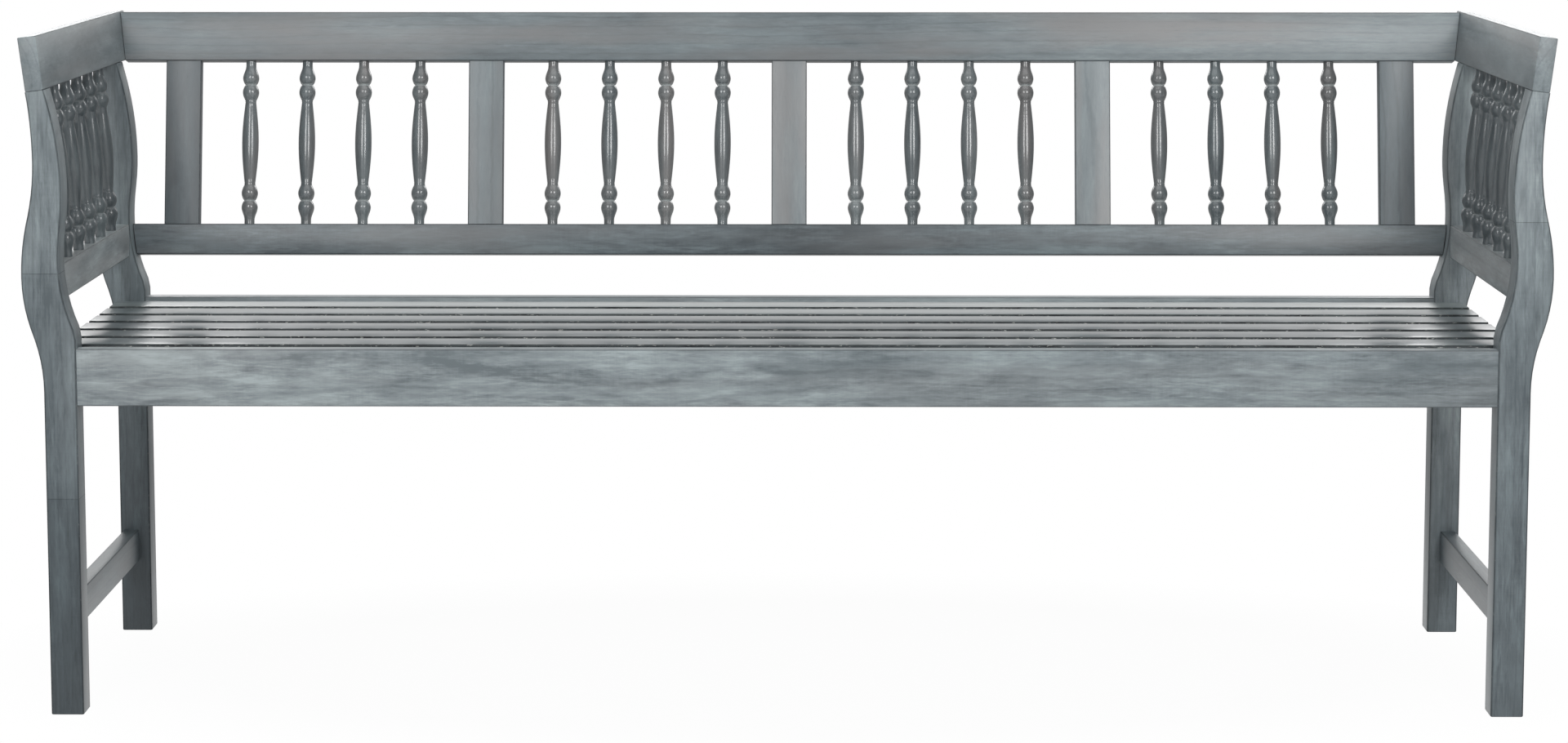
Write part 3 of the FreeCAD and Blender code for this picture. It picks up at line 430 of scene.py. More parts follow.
@dataclass(frozen=True)
class WashedWood(Finish):
    """Hardwood under a thin grey wash and a clear coat."""

    shade: float = 1.0
    roughness: float = 0.42
    coat: float = 0.22
    coat_roughness: float = 0.28
    dark: Colour = (0.118, 0.146, 0.160)
    middle: Colour = (0.226, 0.265, 0.282)
    light: Colour = (0.345, 0.405, 0.420)
    warm: Colour = (0.268, 0.262, 0.262)
    # The eased edges take the rim colour by rim_share; the dark default is painted edge shade.
    rim: Colour = (0.050, 0.056, 0.060)
    fleck: Colour = (0.44, 0.45, 0.43)
    fleck_share: float = 0.2
    rim_share: float = 0.72
    # cooling: how much bluer the colour turns where the lightness is low, so painted shade is
    # cool.
    cooling: Point = (1.1, 1.0, 0.94)

    def toned(self, colour: Colour) -> Colour:
        """A colour in this finish's shade."""
        return tuple(channel * self.shade for channel in colour)

    def built(self, recipe: Recipe) -> bpy.types.Material:
        """Build the wood over the grain that is kept on the mesh."""
        kept = [recipe.attribute(name) for name in (WEAR_AND_SHADE, TONE_AND_PAINTED_LIGHT, MOTTLE, WARMTH, END_GRAIN)]
        return self.dressed(recipe, recipe.attribute(GRAIN, "Vector"), *kept)

    def dressed(self, recipe: Recipe, timber: Socket, wear: object = 0.0,
                tone: object = 1.0, mottle: object = 0.5, warmth: object = 0.3,
                end_grain: object = 0.0) -> bpy.types.Material:
        """Build the wood over its place in the timber.

        Args:
            recipe: the material that is being made.
            timber: the place in the timber, along the grain first.
            wear: 1 on the eased edges and grooves, where the rim colour and the rubbed flecks go;
                on the frame and seat the rim colour is painted edge shade.
            tone: how much light the piece gives back against the others, with painted light and
                shade set into it.
            mottle: how cloudy the wash lies, from 0 to 1.
            warmth: how much of the brown wood shows through, from 0 to 1.
            end_grain: 1 where the grain ends.

        Returns:
            The material.
        """
        noise, span = recipe.noise, recipe.span
        reckon, times = recipe.reckon, recipe.times
        sway = noise(timber, 1.8, 7.0, 2.0)
        bend = recipe.node("CombineXYZ", {"Y": times(sway, 0.05), "Z": times(sway, -0.04)})
        bent = recipe.node("VectorMath", {0: timber, 1: bend.outputs[0]}, operation="ADD")
        rings = recipe.node("TexWave", {"Vector": bent.outputs[0], "Scale": 30.0,
                                        "Distortion": 0.9, "Detail": 2.0, "Detail Scale": 2.0},
                            wave_type="RINGS", rings_direction="X")
        latewood = span(rings.outputs["Fac"], 0.86, 1.0)
        clouds = noise(timber, 4.5, 16.0, 5.0, 0.58)
        wisps = noise(timber, 14.0, 70.0, 4.0, 0.6)
        streaks = noise(timber, 3.0, 190.0, 2.0)
        fibres = noise(timber, 40.0, 290.0, 5.0, 0.72)
        brushed = noise(timber, 360.0, 30.0, 3.0, 0.6)
        pores = span(noise(timber, 60.0, 1300.0, 1.0), 0.66, 0.74)
        bands = reckon("SUBTRACT", noise(timber, 4.0, 34.0, 3.0, 0.55), 0.5)
        veins = times(span(reckon("ABSOLUTE", bands), 0.0, 0.02, 1.0, 0.0),
                      span(noise(timber, 3.0, 14.0, 2.0), 0.46, 0.60))

        clouds = times(recipe.centred(clouds, 2.0), reckon("MULTIPLY_ADD", mottle, 0.6, 0.4))
        marks = reckon("SUBTRACT", span(wisps, 0.56, 0.68), span(wisps, 0.44, 0.32))
        marks = reckon("MULTIPLY_ADD", marks, 0.14, recipe.centred(wisps, 1.0))
        lines = reckon("MULTIPLY_ADD", veins, 0.26, recipe.centred(streaks, 0.3))
        place = reckon("ADD", reckon("MULTIPLY_ADD", marks, mottle, clouds), times(lines, mottle))
        fine = reckon("MULTIPLY_ADD", mottle, recipe.centred(brushed, 0.22),
                      recipe.centred(fibres, 1.25))
        fine = times(fine, span(noise(timber, 9.0, 40.0), 0.38, 0.62, 0.4, 1.2))
        place = reckon("MULTIPLY_ADD", fine, reckon("MULTIPLY_ADD", mottle, 0.85, 0.2), place)
        place = reckon("MULTIPLY_ADD", latewood, -0.17, place)
        dark = self.toned(self.dark)
        colour = recipe.tinted(reckon("ADD", place, 0.5), [
            (0.0, dark), (0.5, self.toned(self.middle)), (1.0, self.toned(self.light))])
        thin = span(noise(timber, 3.0, 24.0), 0.44, 0.64)
        for share, over in ((times(thin, warmth), self.toned(self.warm)),
                            (times(pores, 0.3), dark), (times(end_grain, 0.35), dark)):
            colour = recipe.mixed(share, colour, over)
        # Where the lightness is low the colour turns bluer: cool painted shade.
        cooler = recipe.node("CombineXYZ", {axis: reckon("POWER", tone, power)
                                            for axis, power in zip("XYZ", self.cooling)})
        colour = recipe.node("VectorMath", {0: colour, 1: cooler.outputs[0]},
                             operation="MULTIPLY").outputs["Vector"]
        # On the eased edges the colour goes to the rim colour, with less coat and specular:
        # painted dark edge shade on the frame and seat, light lines in the turned grooves.
        rim = times(wear, span(noise(timber, 22.0, 60.0, 4.0, 0.7), 0.36, 0.52, 1.0, 0.8))
        colour = recipe.mixed(times(rim, self.rim_share), colour, self.rim)
        flecks = times(span(noise(timber, 150.0, 500.0, 2.0, 0.6), 0.62, 0.70), self.fleck_share)
        colour = recipe.mixed(times(flecks, wear), colour, self.fleck)

        height = reckon("MULTIPLY_ADD", wisps, 0.4, times(fibres, 0.6))
        height = reckon("MULTIPLY_ADD", pores, -0.3, height)
        bump = recipe.node("Bump", {"Height": height, "Strength": 0.25, "Distance": 0.0005})
        gloss = reckon("MULTIPLY_ADD", wisps, 0.2, self.roughness - 0.1)
        return recipe.finish(Base_Color=colour, Roughness=gloss, Normal=bump.outputs["Normal"],
                             Specular_IOR_Level=reckon("MULTIPLY_ADD", rim, -0.4, 0.5),
                             Coat_Weight=reckon("MULTIPLY_ADD", rim, -0.9 * self.coat, self.coat),
                             Coat_Roughness=self.coat_roughness)


@dataclass(frozen=True)
class HiddenWood(WashedWood):
    """The same wood on a carried-over node, whose grain follows the object's axes."""

    turn: Point = (0.0, 0.0, 0.0)

    def built(self, recipe: Recipe) -> bpy.types.Material:
        """Build the wood over the object's own place."""
        place = recipe.node("TexCoord").outputs["Object"]
        timber = recipe.node("Mapping", {"Vector": place, "Rotation": self.turn}).outputs["Vector"]
        return self.dressed(recipe, timber)


@dataclass(frozen=True)
class PlatedSteel(Finish):
    """Zinc-plated steel, a little dulled."""

    colour: Colour = (0.56, 0.56, 0.55)
    dulled: Colour = (0.32, 0.32, 0.33)
    roughness: float = 0.34

    def built(self, recipe: Recipe) -> bpy.types.Material:
        """Build the steel."""
        place = recipe.node("TexCoord").outputs["Object"]
        cloud = recipe.noise(place, 260.0, 260.0, 4.0, 0.6)
        scratches = recipe.noise(place, 1800.0, 240.0, 2.0)
        colour = recipe.mixed(recipe.span(cloud, 0.4, 0.7), self.colour, self.dulled)
        gloss = recipe.reckon("MULTIPLY_ADD", cloud, 0.2, self.roughness - 0.1)
        bump = recipe.node("Bump", {"Height": scratches, "Strength": 0.2, "Distance": 0.0001})
        return recipe.finish(Base_Color=colour, Roughness=gloss, Metallic=1.0,
                             Normal=bump.outputs["Normal"])


FINISHES = {
    Slot.FRAME: WashedWood("frame_wash"),
    # The seat's near-black rim is painted shade in the gaps between the slats.
    Slot.SEAT: WashedWood("seat_wash", shade=0.62, roughness=0.38, coat=0.85,
                          coat_roughness=0.23, middle=(0.205, 0.268, 0.282),
                          warm=(0.228, 0.264, 0.264), rim=(0.018, 0.021, 0.023), rim_share=0.97,
                          fleck_share=0.7),
    Slot.TURNED: WashedWood("turned_wash", shade=0.60, roughness=0.32, coat=0.8,
                            coat_roughness=0.12, rim=(0.48, 0.52, 0.52), rim_share=0.85),
    Slot.BOLT: PlatedSteel("bolt_plating"),
    Slot.SCREW: PlatedSteel("screw_plating", colour=(0.62, 0.56, 0.40), dulled=(0.36, 0.32, 0.24),
                            roughness=0.4),
}
ARM_TURNED = WashedWood("arm_turned_wash", shade=0.60, roughness=0.38, coat=0.5,
                        coat_roughness=0.16, rim=(0.48, 0.52, 0.52), rim_share=0.85)


# Sub-assemblies


def settle(piece: Piece, place: Matrix, slot: Slot, node: str,
           finish: Finish | None = None) -> None:
    """Put a finished piece in its place on the bench.

    Args:
        piece: the piece, about its own origin.
        place: takes it to its place.
        slot: the material slot that it belongs to.
        node: the node that it stands for.
        finish: its finish, or none for the slot's own.
    """
    piece.data.transform(place)
    piece.data.materials.clear()
    piece.data.materials.append((finish or FINISHES[slot]).material())
    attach(piece, BODY)
    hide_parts(node)
    log.info("%s: %d faces", piece.name, len(piece.data.polygons))


@dataclass(frozen=True)
class Board:
    """A planed board about its own middle: X along it, Y and Z across it."""

    length: float
    depth: float
    height: float
    easing: float = 0.0016
    rounding: float = 0.0
    high_length: float = 0.0
    free_ends: bool = False
    steps: int = 24
    timber: Timber = Timber()
    long_share: float = 0.8
    # How far across a slat's rounding the painted gap shade reaches.
    dark_share: float = 0.75

    def build(self, name: str) -> Piece:
        """Saw, plane and ease the board.

        Args:
            name: the piece's name.

        Returns:
            The piece, about its own origin.
        """
        piece = added(name, bpy.ops.mesh.primitive_cube_add, size=1.0,
                      scale=(self.length, self.depth, self.height))
        with editing(piece):
            if self.high_length:
                self.slant_ends(piece)
            if self.rounding:
                bevel(piece, lambda edge: along(edge, 0) and all(
                    vert.co.z > 0 for vert in edge.verts), self.rounding, segments=5)
            bevel(piece, self.eased, self.easing)
            pick(piece, Part.EDGES, lambda edge: along(edge, 0)
                 and edge.calc_length() > self.long_share * self.length)
            bpy.ops.mesh.subdivide(number_cuts=self.steps)
        smooth(piece)
        self.timber.lay(piece, self.worn)
        return piece

    def fit(self, node: str, place: Matrix, slot: Slot = Slot.FRAME) -> None:
        """Build the board for a node and put it in its place."""
        settle(self.build(f"planed_{node}"), place, slot, node)

    def eased(self, edge: bmesh.types.BMEdge) -> bool:
        """Whether a corner of the sawn board is eased."""
        sharp = len(edge.link_faces) == 2 and edge.calc_face_angle(0.0) > SHARP
        return sharp and (self.free_ends or along(edge, 0))

    def worn(self, place: Vector) -> float:
        """Rubbed edges and painted edge shade at a place: on the eased edges, and as painted gap
        shade on a slat's rounding.
        """
        beside = self.depth / 2 - abs(place.y)
        above = self.height / 2 - abs(place.z)
        if self.rounding and place.z > 0:
            # A slat's rounded edges, where they drop towards the gaps, take painted shade.
            rounded = beside < self.dark_share * self.rounding and above < self.rounding + FLAT
            return float(rounded)
        on_edge = beside < self.easing - FLAT and above < self.easing - FLAT
        at_end = self.free_ends and abs(place.x) > self.length / 2 - self.easing + FLAT
        return float(on_edge or (at_end and (beside < FLAT or above < FLAT)))

    def slant_ends(self, piece: Piece) -> None:
        """Give the upper edge its own length, in edit mode."""
        for sign in (-1, 1):
            pick(piece, Part.POINTS, lambda point: point.co.x * sign > 0 and point.co.z > 0)
            step = sign * (self.high_length - self.length) / 2
            bpy.ops.transform.translate(value=(step, 0.0, 0.0))


def swept(height: float, knots: tuple[Pair, ...], upright_first: bool) -> float:
    """A side at a height, on arcs through knots of which every second one stands upright.

    Args:
        height: the height.
        knots: the side and height of each, from the lowest up.
        upright_first: whether the first one stands upright, or else the second.

    Returns:
        The side.
    """
    arcs = list(zip(knots, knots[1:]))
    number = next((number for number, (_, end) in enumerate(arcs) if height <= end[1]),
                  len(arcs) - 1)
    upright, other = arcs[number] if (number % 2 == 0) == upright_first else arcs[number][::-1]
    across, rise = other[0] - upright[0], other[1] - upright[1]
    radius = (across ** 2 + rise ** 2) / (2 * across)
    climb = height - upright[1]
    return upright[0] + radius - math.copysign(math.sqrt(radius ** 2 - climb ** 2), radius)


def midway(first: Pair, second: Pair) -> Pair:
    """The point halfway between two."""
    return ((first[0] + second[0]) / 2, (first[1] + second[1]) / 2)


@dataclass
class Legs:
    """Four legs, sawn to one S curve. Sides are distances from the bench's middle."""

    depth: float = 0.042
    foot_inner: float = 0.8605
    foot_outer: float = 0.9005
    bulge_start: float = 0.400
    bulge: Pair = (0.925, 0.540)
    neck: Pair = (0.9085, 0.679)
    top_outer: float = 0.9153
    shoulder: float = 0.470
    inner_bulge: Pair = (0.8797, 0.558)
    inner_neck: Pair = (0.874, 0.640)
    top_inner: float = 0.892
    arm_foot: float = 0.9037
    arm_foot_height: float = 0.765
    arm_tilt: float = math.radians(7)
    easing: float = 0.0025
    foot_easing: float = 0.0015
    straight_stations: tuple[float, ...] = (0.1, 0.2, 0.3)
    step: float = 0.0125
    shortest_edge: float = 0.008
    recess_radius: float = 0.007
    recess_depth: float = 0.009
    bit_length: float = 0.06
    bolt_height: float = 0.440
    bolt_setback: dict[Row, float] = field(
        default_factory=lambda: {Row.FRONT: -0.007, Row.REAR: -0.008})
    # The legs' lightness fades towards the feet: painted shade where less light reaches near the
    # floor, and on the rear legs under the seat. The steps at the glue lines are the sticks' own.
    timbers: dict[tuple[Row, End], Timber] = field(default_factory=lambda: {
        (Row.FRONT, End.LEFT): Timber("zxy", faded(2, (0.05, 0.30), (0.267, 0.41), (0.269, 0.52),
                                                   (0.45, 0.76), (0.543, 0.82), (0.545, 0.92),
                                                   (0.70, 0.95)), 0.9, 0.1),
        (Row.FRONT, End.RIGHT): Timber("zxy", faded(2, (0.05, 0.51), (0.28, 0.62), (0.45, 0.73),
                                                    (0.607, 1.0), (0.609, 1.16)), 0.9, 0.1),
        (Row.REAR, End.LEFT): Timber("zxy", faded(2, (0.05, 0.25), (0.30, 0.62), (0.60, 0.90)),
                                     0.8, 0.2),
        (Row.REAR, End.RIGHT): Timber("zxy", faded(2, (0.05, 0.75), (0.30, 0.98), (0.60, 1.1)),
                                      0.8, 0.2),
    })
    joints: dict[tuple[Row, End], tuple[float, ...]] = field(default_factory=lambda: {
        (Row.FRONT, End.LEFT): (0.268, 0.544), (Row.FRONT, End.RIGHT): (0.608,)})
    joint_width: float = 0.0014

    def outer_side(self, height: float) -> float:
        """The outer side at a height."""
        if height <= self.bulge_start:
            return self.foot_outer
        start = (self.foot_outer, self.bulge_start)
        return swept(height, (start, midway(start, self.bulge), self.bulge,
                              midway(self.bulge, self.neck), self.neck,
                              (self.top_outer, self.arm_foot_height)), True)

    def inner_side(self, height: float) -> float:
        """The inner side at a height."""
        if height <= self.shoulder:
            return self.foot_inner
        return swept(height, ((self.foot_inner, self.shoulder), self.inner_bulge,
                              midway(self.inner_bulge, self.inner_neck), self.inner_neck,
                              (self.top_inner, self.arm_foot_height)), False)

    def stations(self) -> list[float]:
        """Heights at which the leg is drawn, close together on its curves."""
        curved = round((self.arm_foot_height - self.bulge_start) / self.step)
        rise = (self.arm_foot_height - self.bulge_start) / curved
        return [*self.straight_stations, *(self.bulge_start + rise * number
                                           for number in range(curved + 1))]

    def blank(self) -> Piece:
        """A leg of the right end, about the middle of its depth."""
        width = self.foot_outer - self.foot_inner
        piece = added("leg", bpy.ops.mesh.primitive_plane_add, size=1.0,
                      location=(self.foot_inner + width / 2, 0, 0))
        with editing(piece):
            bpy.ops.mesh.select_all(action="SELECT")
            bpy.ops.transform.resize(value=(width, self.depth, 1.0),
                                     center_override=(self.foot_inner + width / 2, 0, 0))
            height, inner, outer = 0.0, self.foot_inner, self.foot_outer
            for station in self.stations():
                new_inner, new_outer = self.inner_side(station), self.outer_side(station)
                shift = (new_inner + new_outer - inner - outer) / 2
                bpy.ops.mesh.extrude_region_move(
                    TRANSFORM_OT_translate={"value": (shift, 0, station - height)})
                bpy.ops.transform.resize(
                    value=((new_outer - new_inner) / (outer - inner), 1.0, 1.0),
                    center_override=((new_inner + new_outer) / 2, 0, station))
                height, inner, outer = station, new_inner, new_outer
            for inside in (True, False):
                pick(piece, Part.POINTS, lambda point: point.co.z > self.arm_foot_height - NEAR
                     and (point.co.x < self.arm_foot) == inside)
                side = self.top_inner if inside else self.top_outer
                bpy.ops.transform.translate(
                    value=(0, 0, (self.arm_foot - side) * math.tan(self.arm_tilt)))
            bpy.ops.mesh.select_all(action="SELECT")
            bpy.ops.mesh.normals_make_consistent(inside=False)
            bevel(piece, self.runs_up, self.easing)
            bevel(piece, lambda edge: all(vert.co.z < FLAT for vert in edge.verts),
                  self.foot_easing, segments=2)
        return piece

    def runs_up(self, edge: bmesh.types.BMEdge) -> bool:
        """Whether an edge runs up the leg."""
        step = edge.verts[1].co - edge.verts[0].co
        return abs(step.y) < FLAT and abs(step.z) > self.shortest_edge

    def recess(self, piece: Piece, setback: float) -> None:
        """Bore the recess for the bolt's head.

        Args:
            piece: the leg.
            setback: the bolt's place from the middle of the leg's depth.
        """
        middle = self.foot_outer - self.recess_depth + self.bit_length / 2
        cut_away(piece, added("bit", bpy.ops.mesh.primitive_cylinder_add, vertices=ROUND,
                              radius=self.recess_radius, depth=self.bit_length,
                              location=(middle, setback, self.bolt_height),
                              rotation=(0, math.pi / 2, 0)))

    def glue_line(self, piece: Piece, height: float) -> None:
        """Cut rings round a leg for the fine line where two sticks are glued end to end."""
        with editing(piece):
            for step in (-1, 0, 1):
                bpy.ops.mesh.select_all(action="SELECT")
                bpy.ops.mesh.bisect(plane_co=(0, 0, height + step * self.joint_width / 2),
                                    plane_no=(0, 0, 1))

    def worn(self, place: Vector, joints: tuple[float, ...]) -> float:
        """Rubbed edges and painted edge shade at a place: on the eased edges, round the foot and
        along the glue lines.
        """
        if any(abs(place.z - height) < NEAR for height in joints):
            return 1.0
        on_side = self.depth / 2 - abs(place.y) < FLAT
        on_front = (place.x - self.inner_side(place.z) < 2 * NEAR
                    or self.outer_side(place.z) - place.x < 2 * NEAR)
        return 0.0 if on_side or on_front else 1.0

    def build(self) -> None:
        """Saw all four legs."""
        blank = self.blank()
        for end in End:
            for row in Row:
                name = f"{row.value}_{end.label}_leg"
                piece = copy_of(blank, f"sawn_{name}")
                joints = self.joints.get((row, end), ())
                for height in joints:
                    self.glue_line(piece, height)
                self.recess(piece, self.bolt_setback[row] * end.value)
                smooth(piece)
                self.timbers[row, end].lay(piece, lambda place: self.worn(place, joints))
                low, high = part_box(name)
                middle = Matrix.Translation((0, (low.y + high.y) / 2, 0))
                settle(piece, middle @ end.turn, Slot.FRAME, name)
        bpy.data.objects.remove(blank)


@dataclass
class Turning:
    """A turned spindle: radii in metres, heights as parts of the clear length."""

    length: float
    end: float = 0.0067
    bead: float = 0.0108
    groove: float = 0.0079
    ball: float = 0.0109
    waist: float = 0.0071
    swell: float = 0.0111
    end_part: float = 0.026
    bead_part: float = 0.103
    groove_part: float = 0.145
    ball_part: float = 0.19
    waist_part: float = 0.243
    scribe: float = 0.0006
    groove_width: float = 0.0045
    collar: float = 0.0004
    collar_part: float = 0.004
    bend_steps: tuple[int, ...] = (3, 3, 5, 5, 5)
    swell_steps: int = 8
    light_in_groove: float = 0.85
    sides: int = 28

    def half_profile(self) -> list[Pair]:
        """Part and radius of each ring, from an end to the middle."""
        knots = ((self.end, self.end_part),
                 midway((self.end, self.end_part), (self.bead, self.bead_part)),
                 (self.bead, self.bead_part), (self.groove, self.groove_part),
                 (self.ball, self.ball_part), (self.waist, self.waist_part))
        rings = [(0.0, self.end), (self.end_part, self.end)]
        for number, (start, stop, count) in enumerate(zip(knots, knots[1:], self.bend_steps)):
            rings += self.bent(start, stop, number % 2 == 0, count)[1:]
            if stop[1] == self.groove_part:
                rings[-1] = (stop[1] - self.groove_width, self.groove)
                rings.append((stop[1], self.groove - self.scribe))
                rings.append((stop[1] + self.groove_width, self.groove))
        rings.append((self.waist_part + self.collar_part, self.waist + self.collar))
        return rings + self.bent((self.waist, self.waist_part + 2 * self.collar_part),
                                 (self.swell, 0.5), False, self.swell_steps)

    @staticmethod
    def bent(start: Pair, stop: Pair, level_at_start: bool, count: int) -> list[Pair]:
        """Rings on a quarter wave between two places.

        Args:
            start: radius and part where it starts.
            stop: radius and part where it stops.
            level_at_start: whether it is level there, or else where it stops.
            count: its steps.

        Returns:
            Part and radius of each ring.
        """
        rings = []
        for share in (number / count for number in range(count + 1)):
            angle = share * math.pi / 2
            rise = 1 - math.cos(angle) if level_at_start else math.sin(angle)
            rings.append((start[1] + (stop[1] - start[1]) * share,
                          start[0] + (stop[0] - start[0]) * rise))
        return rings

    def build(self) -> Piece:
        """Turn a spindle, upright from its own origin."""
        half = self.half_profile()
        rings = half + [(1 - part, radius) for part, radius in reversed(half[:-1])]
        piece = added("spindle", bpy.ops.mesh.primitive_circle_add, vertices=self.sides,
                      radius=rings[0][1], fill_type="NGON")
        with editing(piece):
            bpy.ops.mesh.select_all(action="SELECT")
            for (part, radius), (new_part, new_radius) in zip(rings, rings[1:]):
                bpy.ops.mesh.extrude_region_move(
                    TRANSFORM_OT_translate={"value": (0, 0, (new_part - part) * self.length)})
                factor = new_radius / radius
                bpy.ops.transform.resize(value=(factor, factor, 1.0),
                                         center_override=(0, 0, new_part * self.length))
            bpy.ops.mesh.select_all(action="SELECT")
            bpy.ops.mesh.normals_make_consistent(inside=False)
        smooth(piece, degrees=60)
        return piece

    def worn(self, place: Vector) -> float:
        """The mark at a place: a light line in the scribed grooves."""
        part = place.z / self.length
        part = min(part, 1 - part)
        in_groove = abs(part - self.groove_part) < self.groove_width + NEAR
        return self.light_in_groove if in_groove else 0.0


@dataclass
class ArmFrames:
    """The two arms: a tilted board, a level rail and turned spindles between them."""

    # The board's, rail's and spindles' lightness values hold painted light and shade, each piece
    # lighter or darker as it is lit; the spindles are set darker as painted shade.
    board: Board = Board(0.600, 0.022, 0.066, free_ends=True, timber=Timber("xzy", 1.14, 0.6))
    foot_x: float = 0.9037
    foot_height: float = 0.765
    tilt: float = math.radians(7)
    rail: Board = Board(0.450, 0.020, 0.0435, timber=Timber("xzy", 1.45, 0.8, 0.3))
    rail_x: float = 0.891
    rail_top: float = 0.552
    pitch: float = 0.075
    spindles: int = 5
    spindle_tone: float = 0.8

    def build(self) -> None:
        """Make both arms."""
        rise, run = self.foot_height - self.rail_top, self.foot_x - self.rail_x
        turning = Turning(math.hypot(rise, run), light_in_groove=0.3)
        spindle = turning.build()
        lean = math.atan2(run, rise)
        crosswise = Matrix.Rotation(math.pi / 2, 4, "Z")
        low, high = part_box("right_arm_rail")
        middle = (low.y + high.y) / 2
        for end in End:
            tilted = (Matrix.Translation((end.value * self.foot_x, 0, self.foot_height)) @ end.turn
                      @ Matrix.Rotation(self.tilt, 4, "Y")
                      @ Matrix.Translation((0, 0, self.board.height / 2)) @ crosswise)
            self.board.fit(f"{end.label}_arm_board", tilted)
            level = (Matrix.Translation((end.value * self.rail_x, middle,
                                         self.rail_top - self.rail.height / 2)) @ crosswise)
            self.rail.fit(f"{end.label}_arm_rail", level)
            for number in range(self.spindles):
                name = f"{end.label}_arm_spindle_{number + 1}"
                piece = copy_of(spindle, f"turned_{name}")
                Timber("zxy", self.spindle_tone, 0.7, 0.1).lay(piece, turning.worn)
                step = (number - (self.spindles - 1) / 2) * self.pitch
                leaning = (Matrix.Translation((end.value * self.rail_x, middle + step,
                                               self.rail_top))
                           @ end.turn @ Matrix.Rotation(lean, 4, "Y"))
                settle(piece, leaning, Slot.TURNED, name, ARM_TURNED)
        bpy.data.objects.remove(spindle)


@dataclass
class BackPanel:
    """The back: two rails, flat slats and turned spindles in one leaning plane."""

    recline: float = math.radians(11.5)
    axis: Pair = (0.221, 0.5285)
    # The rails' lightness along the bench and the stiles' and spindles' lightness values hold
    # painted light and shade, lighter or darker as the light falls across the panel.
    low_rail: Board = Board(1.7468, 0.018, 0.041, high_length=1.7584, steps=40, timber=Timber(
        "xzy", faded(0, (-0.5, 0.60), (0.0, 0.45), (0.5, 0.66)), 1.1, 0.5))
    top_rail: Board = Board(1.7842, 0.022, 0.066, high_length=1.8002, steps=40, timber=Timber(
        "xzy", faded(0, (-0.5, 0.77), (0.0, 0.71), (0.5, 0.96)), 0.5, 0.8))
    spacing: float = 0.2735
    stile_width: float = 0.047
    stile_depth: float = 0.018
    stile_pitch: float = 0.407
    stiles: int = 5
    spindle_pitch: float = 0.076
    spindles_per_bay: int = 4
    spindle_tones: tuple[float, ...] = (1.18, 1.26, 1.2, 0.96)
    spindle_contrast: float = 0.06
    stile_tones: tuple[float, ...] = (0.58, 0.85, 1.09, 1.10, 0.65)

    @property
    def clear(self) -> float:
        """From the lower rail's edge to the top rail's."""
        return self.spacing - self.low_rail.height / 2 - self.top_rail.height / 2

    def at(self, x: float, up: float) -> Matrix:
        """A place in the panel, along the bench and up the lean."""
        return (Matrix.Translation((x, *self.axis)) @ Matrix.Rotation(-self.recline, 4, "X")
                @ Matrix.Translation((0, 0, up)))

    def build(self) -> None:
        """Make the whole back."""
        self.low_rail.fit("lower_back_rail", self.at(0, 0))
        self.top_rail.fit("top_back_rail", self.at(0, self.spacing))
        foot = self.low_rail.height / 2
        upright = Matrix.Rotation(math.pi / 2, 4, "Y")
        for number, tone in enumerate(self.stile_tones):
            x = (number - (self.stiles - 1) / 2) * self.stile_pitch
            Board(self.clear, self.stile_depth, self.stile_width, steps=6,
                  timber=Timber("xzy", tone, 0.3, 0.6)).fit(
                      f"back_slat_{number + 1}", self.at(x, foot + self.clear / 2) @ upright)
        turning = Turning(self.clear)
        spindle = turning.build()
        for bay in range(self.stiles - 1):
            for number in range(self.spindles_per_bay):
                name = f"back_spindle_{bay * self.spindles_per_bay + number + 1}"
                piece = copy_of(spindle, f"turned_{name}")
                tone = self.spindle_tones[bay] + self.spindle_contrast * (-1) ** number
                Timber("zxy", tone, 0.6, 0.8).lay(piece, turning.worn)
                x = ((bay - (self.stiles - 2) / 2) * self.stile_pitch
                     + (number - (self.spindles_per_bay - 1) / 2) * self.spindle_pitch)
                settle(piece, self.at(x, foot), Slot.TURNED, name)
        bpy.data.objects.remove(spindle)


@dataclass
class SeatFrame:
    """Apron, rear rail, slats and stretchers, each in the place of its node."""

    rail_length: float = 1.721
    # The rails' lightness values are set against the rest, with painted light in them.
    rail_timbers: dict[str, Timber] = field(default_factory=lambda: {
        "front_apron": Timber("xzy", faded(0, (-0.6, 1.25), (0.3, 1.0)), 1.0, 0.15),
        "rear_seat_rail": Timber("xzy", 1.1, 0.6)})
    stretcher_length: float = 0.450
    # The stretchers are set dark: painted shade under the seat.
    stretcher_timber: Timber = Timber("xzy", 0.44, 0.8)
    slat_rounding: float = 0.005
    # The rear slats are set lighter, as a painted reflection of the bright backdrop, and the
    # middle ones darker.
    slat_tones: tuple[float, ...] = (0.9, 0.65, 0.6, 0.78, 1.35, 1.9)

    def middle(self, node: str) -> tuple[Vector, Vector]:
        """The middle and the size of a node."""
        low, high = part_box(node)
        return (low + high) / 2, high - low

    def build(self) -> None:
        """Make the seat and the stretchers."""
        for node, timber in self.rail_timbers.items():
            middle, size = self.middle(node)
            Board(self.rail_length, size.y, size.z, steps=40, timber=timber).fit(
                node, Matrix.Translation(middle))
        for number, tone in enumerate(self.slat_tones):
            node = f"seat_slat_{number + 1}"
            middle, size = self.middle(node)
            Board(size.x, size.y, size.z, easing=0.001, rounding=self.slat_rounding,
                  free_ends=True, steps=40, timber=Timber("xyz", tone, 0.8)).fit(
                      node, Matrix.Translation(middle), Slot.SEAT)
        crosswise = Matrix.Rotation(math.pi / 2, 4, "Z")
        for end in End:
            node = f"{end.label}_stretcher"
            middle, size = self.middle(node)
            Board(self.stretcher_length, size.x, size.z, steps=10,
                  timber=self.stretcher_timber).fit(node, Matrix.Translation(middle) @ crosswise)


